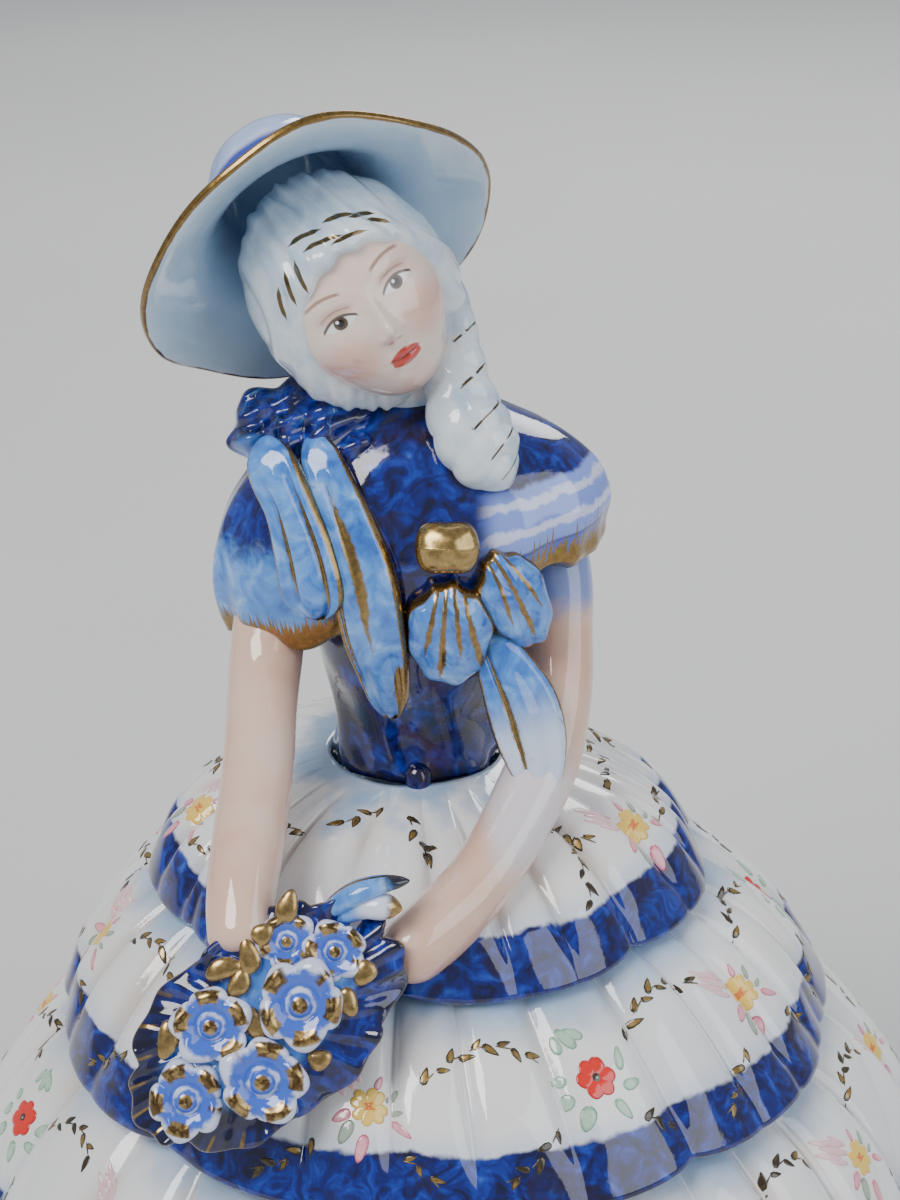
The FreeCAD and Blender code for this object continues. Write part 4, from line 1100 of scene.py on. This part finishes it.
def lay(name, grid, rows_v, at, axes, local=None):
    """A closed mesh from a grid in a piece's own axes, laid at its place on the lady."""
    return skin(name, at + grid @ axes, rows_v, local=grid if local is None else local)


COLLAR_AT = NECK + (-14.4, -4.0, -3.8)
COLLAR_AXES = axes_from((0.96, -0.20, -0.12), (0.1, 0.35, 0.93))


def collar_folds(x, y):
    """Deep folds that fan from the ear, crossed by a few smaller creases."""
    fan = np.arctan2(x - 1.0, y + 12.0)
    return 1.25 * np.abs(np.sin(fan * 7.5 + 0.4)) ** 1.3 + 0.35 * np.sin(1.1 * x - 1.7 * y) - 0.8


grid, rows_v = mound((10.6, 7.6), 6.0, 5.0, 70, 160,
                     lambda turn: 1 + 0.07 * np.cos(7 * turn + 0.5) + 0.03 * np.sin(11 * turn),
                     collar_folds)
kiln = Kiln("collar_paint")
here = kiln.node("ShaderNodeAttribute", {"attribute_name": "local"}, out="Vector")
x, y, _ = kiln.axes(here)
light = kiln.dot(x, y, (-5.0, -4.4), (4.2, 3.2), 0.5) * 0.95
blots = kiln.step(kiln.noise(0.30, 3.0, 1.0), 0.60, 0.70) * 0.5
colour = kiln.mix(light.most(blots), kiln.cobalt(), kiln.sky())
fit(lay("painted_collar", grid, rows_v, COLLAR_AT, COLLAR_AXES), kiln.glaze(colour),
    "cobalt_glaze", "neck_ruffle")

OUTER_END = on(NECK, [(-19.8, -9.3, -1.8, 2.4, 1.4), (-18.6, -12.0, -5.4, 3.6, 1.8),
                      (-16.2, -14.3, -10.2, 3.7, 1.9), (-14.4, -15.9, -15.6, 4.4, 2.0),
                      (-13.3, -16.9, -20.8, 4.7, 2.0), (-12.8, -17.0, -25.2, 4.0, 1.7)])
INNER_END = on(NECK, [(-13.6, -9.0, -1.6, 2.4, 1.4), (-11.2, -12.8, -7.0, 3.3, 1.8),
                      (-8.8, -15.6, -12.6, 4.0, 2.0), (-6.6, -17.5, -19.0, 4.5, 2.1),
                      (-5.3, -18.1, -26.5, 4.4, 2.0), (-3.9, -17.2, -33.5, 3.5, 1.8),
                      (-2.8, -15.4, -40.8, 2.2, 1.5)])
OUTER_GOLD = [(-0.28, 0.30, 0.88, 0.13), (0.42, 0.26, 1.0, 0.15)]
INNER_GOLD = [(-0.72, 0.22, 0.86, 0.10), (-0.05, 0.18, 0.74, 0.17)]


def tongue(name, path, side, grooves, round_end):
    """A flat tongue of clay with a groove down the middle of every gold line."""
    grid, t, turn, out = sweep(path, side, 120, 120, 0.75, round_end)
    across = np.broadcast_to(np.cos(turn), (120, 120))
    front = np.sin(turn)
    along = np.broadcast_to(t[:, None], (120, 120))
    dip = np.zeros((120, 120))
    for at, start, end, width in grooves:
        run = eased(along, start - 0.06, start + 0.04) * (1 - eased(along, end - 0.02, end + 0.06))
        dip = dip + 0.75 * np.exp(-((across - at) / (width * 0.8)) ** 2) * run
    billow = 0.35 * np.cos(across * 7.5 + 0.7) * eased(along, 0.1, 0.4)
    grid = grid + out[:, None] * ((billow - dip) * np.abs(front))[..., None] * np.sign(front)[:, None]
    local = np.stack([across, along, np.broadcast_to(front, (120, 120))], axis=-1)
    return skin(name, grid, t, local=local)


def tongue_paint(name, grooves, edge, tip_gold=None, pale=None):
    """Sky blue wash; gold drawn down each groove, thick to thin, and round the edge."""
    kiln = Kiln(name)
    here = kiln.node("ShaderNodeAttribute", {"attribute_name": "local"}, out="Vector")
    across, along, _ = kiln.axes(here)
    shaky = (kiln.noise(0.8, 2.0) - 0.5) * 0.10
    gold = kiln.step(abs(across) + shaky, edge, edge + 0.035)
    gold = gold.most(kiln.step(along + shaky * 0.3, 0.972, 0.984))
    for at, start, end, width in grooves:
        middle = (start + end) / 2
        half = (end - start) / 2
        slim = kiln.step(abs(along - middle), half, half * 0.25) * width * 0.62
        gold = gold.most(kiln.step(abs(across - at + shaky) - slim, 0.03, -0.03)
                         * kiln.step(abs(along - middle), half + 0.02, half - 0.01))
    if tip_gold:
        gold = gold.most(kiln.dot(across, along, tip_gold[0], tip_gold[1], 0.2))
    colour = kiln.sky()
    if pale:
        colour = kiln.mix(kiln.step(along, pale[0], pale[1]), colour, (0.62, 0.72, 0.90))
    deep = kiln.step(kiln.noise(0.24, 3.0, 0.8), 0.60, 0.72)
    colour = kiln.mix(deep * 0.5, colour, (0.012, 0.05, 0.38))
    return kiln.glaze(colour, gold, gold_colour=(0.50, 0.33, 0.11))


fit(tongue("painted_scarf_outer", OUTER_END, (1, -0.35, 0), OUTER_GOLD, 0.17),
    tongue_paint("scarf_outer_paint", OUTER_GOLD, 0.82), "blue_glaze", "scarf_outer")
fit(tongue("painted_scarf_inner", INNER_END, (1, -0.12, 0.1), INNER_GOLD, 0.10),
    tongue_paint("scarf_inner_paint", INNER_GOLD, 0.78, ((0.62, 0.88), (0.34, 0.10))),
    "blue_glaze", "scarf_inner")


# ---- The brooch, the bow and the sash ------------------------------------------------------
# A domed brooch under solid gold lustre, two gathered loops of the bow pinned beneath it, and
# a loose end of the sash that falls over her left forearm.

BROOCH_AT = NECK + (4.6, -16.9, -14.8)
BROOCH_AXES = axes_from((1, 0, 0), (0, 0.30, 0.95))
grid, rows_v = mound((4.3, 3.5), 3.3, 3.0, 50, 96,
                     lambda turn: 1 / (np.abs(np.cos(turn)) ** 3.2 + np.abs(np.sin(turn)) ** 3.2)
                     ** (1 / 3.2) + 0.02 * np.cos(6 * turn),
                     lambda x, y: 0.07 * np.sin(1.5 * x + 0.9 * y) - 0.12 * np.abs(y) ** 0.5)
kiln = Kiln("brooch_paint")
worn = kiln.step(kiln.noise(0.5, 4.0, 0.5), 0.68, 0.75)
fit(lay("painted_brooch", grid, rows_v, BROOCH_AT, BROOCH_AXES),
    kiln.glaze((0.10, 0.05, 0.02), 1.0 - worn * 0.6, gold_colour=(0.72, 0.50, 0.18)),
    "gold_lustre", "brooch")

LOOPS = [
    ("bow_loop", NECK + (4.9, -17.0, -26.0), axes_from((1, 0, 0), (0, -0.08, 1.0)),
     (6.0, 9.0), 3.9, [-0.42, -0.12, 0.20, 0.50]),
    ("bow_loop_side", NECK + (13.0, -14.6, -22.2),
     axes_from((0.80, 0.42, 0.42), (-0.55, -0.16, 0.82)), (4.9, 9.0), 3.5,
     [-0.40, -0.05, 0.34]),
]
for name, at, axes, half, high, lines in LOOPS:
    top = half[1] + 5.0

    def gathers(x, y):
        """Ridges that fan out from above the loop, deepest half way down."""
        fan = x / (top - y) * 16.0 / half[0]
        return 0.55 * np.abs(np.sin(fan * 2.6 + 0.4)) ** 0.8 * eased(half[1] - y, 0.5, 6.0) - 0.3

    def bag(turn):
        """Narrow at the top, full below, with a slightly scalloped foot."""
        return 1 - 0.26 * eased(np.sin(turn), 0.1, 0.95) + 0.028 * np.cos(9 * turn)

    grid, rows_v = mound(half, high, 3.4, 80, 150, bag, gathers)
    kiln = Kiln(name + "_paint")
    here = kiln.node("ShaderNodeAttribute", {"attribute_name": "local"}, out="Vector")
    x, y, z = kiln.axes(here)
    _, out = kiln.painted()
    fan = x / (top - y) * (top / half[0])
    shaky = (kiln.noise(0.9, 2.0) - 0.5) * 0.12
    gold = kiln.step(out + shaky * 0.3, 0.60, 0.64) * kiln.step(out, 0.90, 0.86)
    for n, line in enumerate(lines):
        low = -half[1] * (0.80 if n % 2 else 0.35)
        run = kiln.step(y, low, low + 3.5)
        slim = run * 0.055 + 0.012
        gold = gold.most(kiln.step(abs(fan - line * 1.1 + shaky) - slim, 0.02, -0.02)
                         * kiln.step(y, low - 0.4, low + 0.4))
    colour = kiln.mix(kiln.step(kiln.noise(0.3, 3.0, 0.8), 0.56, 0.70) * 0.7, kiln.sky(),
                      (0.015, 0.06, 0.42))
    fit(lay("painted_" + name, grid, rows_v, at, axes),
        kiln.glaze(colour, gold * kiln.step(z, -1.2, -0.4), gold_colour=(0.46, 0.30, 0.10)),
        "blue_glaze", name)

SASH = on(NECK, [(9.6, -15.4, -28.0, 2.4, 1.5), (12.4, -17.0, -32.6, 3.9, 1.8),
                 (14.8, -18.0, -37.6, 5.0, 1.8)])
SASH += on(WAIST, [(16.3, -19.0, 10.2, 4.8, 1.7), (17.1, -20.2, 5.2, 3.4, 1.6),
                   (17.0, -20.8, 0.8, 1.5, 1.2)])
SASH_GOLD = [(-0.30, 0.0, 0.90, 0.14)]
fit(tongue("painted_sash", SASH, (1, 0.10, 0), SASH_GOLD, 0.10),
    tongue_paint("sash_paint", SASH_GOLD, 0.90, pale=(0.30, 0.62)), "blue_glaze", "sash")


# ---- The bouquet ---------------------------------------------------------------------------
# A frilled cobalt leaf pinched from a slab, six hand-rolled flowers pressed on it, and a bud at
# its top. Petals periwinkle with white edges and daubs of bright gold; a gold line on the frill.

BOUQUET_AT = WAIST + (-19.0, -48.0, -16.2)
CLIMB, LEAN_BACK = math.radians(40.0), math.radians(24.0)
RISE = np.array([0.0, math.sin(LEAN_BACK), math.cos(LEAN_BACK)])
LEVEL = np.array([1.0, 0.0, 0.0])
BOUQUET_AXES = axes_from(LEVEL * math.cos(CLIMB) + RISE * math.sin(CLIMB),
                         RISE * math.cos(CLIMB) - LEVEL * math.sin(CLIMB))
LEAF_HALF = (20.5, 12.6)
RIBS = 24
LEAF = [(0.04, -3.2, 0.0), (0.52, -3.2, 0.0), (0.84, -2.0, 0.5), (0.985, -0.6, 0.95),
        (1.01, 0.5, 1.0), (0.975, 1.2, 0.95), (0.84, 1.5, 0.6), (0.6, 2.1, 0.2), (0.04, 2.5, 0.0)]


def leaf_grid():
    """Rings of an oval leaf from the middle of its back, over the frilled rim, to its front.

    The rim runs in and out in seven rounded lobes with pinched corners, and up and down too."""
    rows = smooth(LEAF, 110)
    turn = np.linspace(0, 2 * np.pi, 280, endpoint=False)[None, :]
    scale, height, frill = (rows[:, n:n + 1] for n in range(3))
    lobes = np.abs(np.sin(3.5 * turn + 0.35 + 0.25 * np.sin(turn)))
    wave = 1 + 0.10 * frill * (lobes ** 0.7 - 0.62) + 0.02 * frill * np.sin(17 * turn)
    curl = frill ** 2 * (-1.5 * np.sin(7 * turn) + 0.5 * np.sin(13 * turn + 1.0))
    ribs = 0.85 * np.sin(RIBS * turn + 1.0) * frill * (1 - frill * 0.6)
    x = LEAF_HALF[0] * scale * wave * np.cos(turn)
    y = LEAF_HALF[1] * scale * wave * np.sin(turn)
    return np.stack([x, y, height + curl + ribs], axis=-1)


# Cobalt going to navy on her right, pale between the flowers, painted shade darkening the creases
# between the ribs, with a thin gold line on some ribs and a broken one round the rim.
kiln = Kiln("leaf_paint")
around, along = kiln.painted()
here = kiln.node("ShaderNodeAttribute", {"attribute_name": "local"}, out="Vector")
x, y, _ = kiln.axes(here)
colour = kiln.cobalt()
navy = kiln.step(x + kiln.noise(0.12, 3.0) * 10.0, 2.0, -9.0)
colour = kiln.mix(navy * 0.8, colour, (0.003, 0.004, 0.035))
between = kiln.dot(x, y, (-1.0, 0.5), (15.0, 7.0), 0.3)
colour = kiln.mix(between * 0.9, colour, kiln.sky())
crease = abs((around * (RIBS * math.pi)).sine())
# Painted shade: near black in the creases between the ribs of the frill.
colour = kiln.mix(kiln.step(crease, 0.55, 0.20) * kiln.step(along, 0.80, 0.72) * 0.85, colour,
                  (0.002, 0.002, 0.014))
width = kiln.noise(0.3, 2.0) * 0.020
ribbing = kiln.step(crease, 0.975, 0.992) * kiln.step(along, 0.74, 0.70) * navy
gold = kiln.step(along + width, 0.500, 0.512) * kiln.step(along - width, 0.558, 0.545)
fit(lay("painted_leaf", leaf_grid(), np.linspace(0, 1, 110), BOUQUET_AT, BOUQUET_AXES),
    kiln.glaze(colour, gold.most(ribbing * kiln.step(along, 0.50, 0.52)),
               gold_colour=(0.42, 0.28, 0.10)), "cobalt_glaze", "bouquet_wrapper")

# The stalks behind it, which carry the bouquet on the skirt.
stalks = [(0, 0, -2.4, 6.2, 6.2), (0, 0, -7.0, 5.6, 5.6), (0, 0, -12.0, 5.2, 5.0),
          (0, 0, -17.0, 4.7, 4.7)]
grid, t, turn, _ = sweep(stalks, (1, 0, 0), 60, 120, blunt=0.05)
ribbed = 1 + 0.05 * np.abs(np.sin(8 * turn + 2.5 * t[:, None]))
centre = grid.mean(axis=1, keepdims=True)
grid = centre + (grid - centre) * ribbed[..., None]
kiln = Kiln("stalk_paint")
fit(lay("painted_stalks", grid, t, BOUQUET_AT, BOUQUET_AXES), kiln.glaze(kiln.cobalt()),
    "cobalt_glaze", "bouquet_stalks")

FLOWERS = [(-14.0, -0.8, 2.2, 4.9), (-5.2, 4.6, 3.2, 4.9), (-4.6, -5.2, 3.4, 5.4),
           (5.6, -0.6, 3.8, 5.5), (9.2, 6.6, 1.8, 3.7), (13.2, 1.6, 2.0, 3.9)]
PETALS = 5
BLOOM = [(0.04, -2.6), (0.5, -2.6), (0.88, -0.9), (1.0, 0.2), (0.93, 0.95), (0.74, 1.25),
         (0.52, 0.85), (0.40, 0.55), (0.34, 0.85), (0.22, 1.55), (0.04, 1.85)]


def bloom_grid(radius, first, petals):
    """Rings from under the flower out to its petals' tips and in to the bead in the middle.

    Each petal is a lobe of the plan, swollen along its own middle."""
    rows = smooth(BLOOM, 90)
    turn = np.linspace(0, 2 * np.pi, 160, endpoint=False)[None, :]
    scale, height = rows[:, 0:1], rows[:, 1:2]
    lobe = np.abs(np.cos(petals * turn / 2 + first))
    out = eased(scale, 0.35, 0.9)
    front = np.linspace(0, 1, 90)[:, None] > 0.3
    wave = 1 + 0.20 * out * (lobe ** 0.7 - 0.6) + 0.05 * out * np.sin(2 * turn + 3 * first)
    wave = wave + 0.035 * out * np.sin(7 * turn + 5 * first)
    swell = 0.75 * out * (lobe - 0.5) * np.exp(-((scale - 0.78) / 0.2) ** 2) * front
    x = radius * scale * wave * np.cos(turn)
    y = radius * scale * wave * np.sin(turn)
    return np.stack([x, y, height * radius / 5.0 + swell], axis=-1)


for n, (along_x, across_y, high, radius) in enumerate(FLOWERS):
    first = 0.7 * n
    grid = bloom_grid(radius, first, PETALS)
    kiln = Kiln("flower_paint_%d" % (n + 1))
    around, _ = kiln.painted()
    here = kiln.node("ShaderNodeAttribute", {"attribute_name": "local"}, out="Vector")
    x, y, z = kiln.axes(here)
    out = (x * x + y * y) ** 0.5 / radius
    lobe = abs((around * (math.pi * PETALS) + (first + math.pi / 2)).sine())
    shaky = kiln.noise(0.6, 2.0) * 0.36
    colour = kiln.mix(kiln.step(out + shaky, 0.92, 1.08), (0.045, 0.13, 0.62), (0.66, 0.70, 0.90))
    halo = kiln.step(abs(out - 0.34) + shaky * 0.6, 0.18, 0.09)
    colour = kiln.mix(halo, colour, (0.70, 0.76, 0.92))
    daub = kiln.step(lobe + shaky * 0.6, 0.62, 0.80)
    daub = daub * kiln.step(abs(out - 0.80) + shaky * 0.3, 0.27, 0.21)
    missing = kiln.step((around * (2 * math.pi) + 1.3 * n).sine(), -0.93, -0.80)
    bead = kiln.step(out, 0.22, 0.16)
    gold = (daub * missing).most(bead) * kiln.step(z, -0.4, 0.1)
    dark_edge = kiln.step(abs(kiln.noise(0.5, 3.0) - 0.5), 0.10, 0.02)
    glow = kiln.mix(dark_edge, (0.74, 0.52, 0.20), (0.16, 0.09, 0.03))
    at = BOUQUET_AT + np.array([along_x, across_y, high]) @ BOUQUET_AXES
    fit(lay("painted_flower_%d" % (n + 1), grid, np.linspace(0, 1, 90), at, BOUQUET_AXES),
        kiln.glaze(colour, gold, gold_colour=glow), "blue_glaze", "flower_%d" % (n + 1))

# Loose petals of gold that fill the gaps at the top of the bouquet.
PETAL_SPOTS = [(1.0, 6.4, 20.0), (4.2, 8.2, 60.0), (7.4, 9.4, 10.0), (0.6, 9.2, -20.0),
               (10.2, -4.4, 70.0), (14.4, -3.0, 20.0), (-10.8, 6.8, 40.0), (2.6, -7.8, -30.0),
               (12.2, 10.0, 35.0), (-0.8, 1.0, 75.0)]
kiln = Kiln("loose_petal_paint")
_, along = kiln.painted()
rim = kiln.step(along, 0.62, 0.80)
loose_paint = kiln.glaze(kiln.mix(rim, (0.10, 0.05, 0.02), (0.20, 0.30, 0.72)), 1.0 - rim,
                         gold_colour=(0.70, 0.48, 0.18))
for n, (along_x, across_y, turned) in enumerate(PETAL_SPOTS):
    angle = math.radians(turned)
    grid, rows_v = mound((2.1 + 0.5 * math.sin(2.4 * n), 1.45), 0.9, 1.3, 24, 36,
                         lambda turn: 1 + 0.08 * np.sin(3 * turn + n))
    x = grid[..., 0] * math.cos(angle) - grid[..., 1] * math.sin(angle)
    y = grid[..., 0] * math.sin(angle) + grid[..., 1] * math.cos(angle)
    grid = np.stack([x, y, grid[..., 2]], axis=-1)
    at = BOUQUET_AT + np.array([along_x, across_y, 2.5]) @ BOUQUET_AXES
    fit(lay("loose_petal_%d" % (n + 1), grid, rows_v, at, BOUQUET_AXES), loose_paint,
        "blue_glaze")

BUD_LEAF = on(BOUQUET_AT, [(7.6, 5.4, 13.4, 1.4, 1.2), (11.4, 5.2, 16.4, 2.0, 1.5),
                           (15.0, 5.2, 17.8, 1.6, 1.2), (18.8, 5.4, 18.3, 0.6, 0.5)])
BUD_STEM = on(BOUQUET_AT, [(9.0, 5.4, 12.6, 1.3, 1.3), (12.4, 5.0, 14.4, 1.6, 1.5),
                           (15.2, 4.6, 14.9, 1.9, 1.8), (17.8, 4.4, 14.6, 1.0, 1.0)])
kiln = Kiln("bud_leaf_paint")
around, along = kiln.painted()
tip = kiln.step(along + (kiln.noise(0.8, 2.0) - 0.5) * 0.2, 0.55, 0.72)
colour = kiln.mix(tip, kiln.sky(), (0.012, 0.012, 0.03))
bud_leaf = skin("painted_bud_leaf", sweep(BUD_LEAF, (0, 1, 0), 50, 36, blunt=0.15)[0],
                np.linspace(0, 1, 50))
fit(bud_leaf, kiln.glaze(colour, kiln.step(abs(around - 0.25), 0.03, 0.01)), "blue_glaze",
    "bouquet_bud")
kiln = Kiln("bud_paint")
_, along = kiln.painted()
gold = kiln.step(along, 0.62, 0.72)
colour = kiln.mix(kiln.step(along, 0.30, 0.5), kiln.sky(), (0.72, 0.78, 0.92))
bud = skin("painted_bud", sweep(BUD_STEM, (0, 1, 0), 50, 36, blunt=0.2)[0],
           np.linspace(0, 1, 50))
fit(bud, kiln.glaze(colour, gold, gold_colour=(0.70, 0.48, 0.18)), "blue_glaze")


# ---- Where it stands -----------------------------------------------------------------------
# A plain pale floor, three soft lamps, and a camera a little above looking down at the lady.

FLOOR_R = 2.2
FLOOR_THICK = 0.01
EYE_AT = (0.0, -0.3362, 0.2797)
LOOKED_AT = (0.0, 0.0, 0.130)

turn = np.linspace(0, 2 * np.pi, 64, endpoint=False)
radii = np.array([0.3, 1.0, FLOOR_R])[:, None]
ground = np.stack([radii * np.cos(turn), radii * np.sin(turn), 0 * radii * turn - 0.0002], axis=-1)
sunk = ground[::-1] - np.array([0, 0, FLOOR_THICK])
floor = skin("floor", np.concatenate([ground, sunk]) * 1000.0, np.linspace(0, 1, 6))
kiln = Kiln("floor_paint")
paper = kiln.noise(0.004, 2.0)
kiln.plug(kiln.shader.inputs["Base Color"],
          kiln.ramp(paper, (0.3, (0.60, 0.60, 0.60)), (0.7, (0.64, 0.64, 0.635))))
kiln.shader.inputs["Roughness"].default_value = 0.9
floor.data.materials.append(kiln.material)


def lamp(name, place, aim, size, watts, colour):
    """A soft square lamp at place, aimed at a point."""
    light = bpy.data.lights.new(name, "AREA")
    light.size = size
    light.energy = watts
    light.color = colour
    holder = bpy.data.objects.new(name, light)
    holder.location = place
    towards = Vector(aim) - Vector(place)
    holder.rotation_euler = towards.to_track_quat("-Z", "Y").to_euler()
    bpy.context.scene.collection.objects.link(holder)


lamp("key_lamp", (-0.55, -0.55, 0.95), (0, 0, 0.10), 0.55, 11.0, (1.0, 0.985, 0.96))
lamp("fill_lamp", (0.80, -0.50, 0.55), (0, 0, 0.10), 0.80, 5.0, (0.93, 0.96, 1.0))
lamp("rim_lamp", (0.25, 0.85, 0.80), (0, 0, 0.12), 0.60, 7.0, (1.0, 1.0, 1.0))

world = bpy.data.worlds.new("studio")
world.use_nodes = True
world.node_tree.nodes["Background"].inputs["Color"].default_value = (0.80, 0.83, 0.88, 1.0)
world.node_tree.nodes["Background"].inputs["Strength"].default_value = 0.45
bpy.context.scene.world = world

view = bpy.data.cameras.new("camera")
view.lens = 78.0
view.sensor_width = 36.0
view.clip_start = 0.01
eye = bpy.data.objects.new("camera", view)
eye.location = EYE_AT
eye.rotation_euler = (Vector(LOOKED_AT) - eye.location).to_track_quat("-Z", "Y").to_euler()
bpy.context.scene.collection.objects.link(eye)
bpy.context.scene.camera = eye
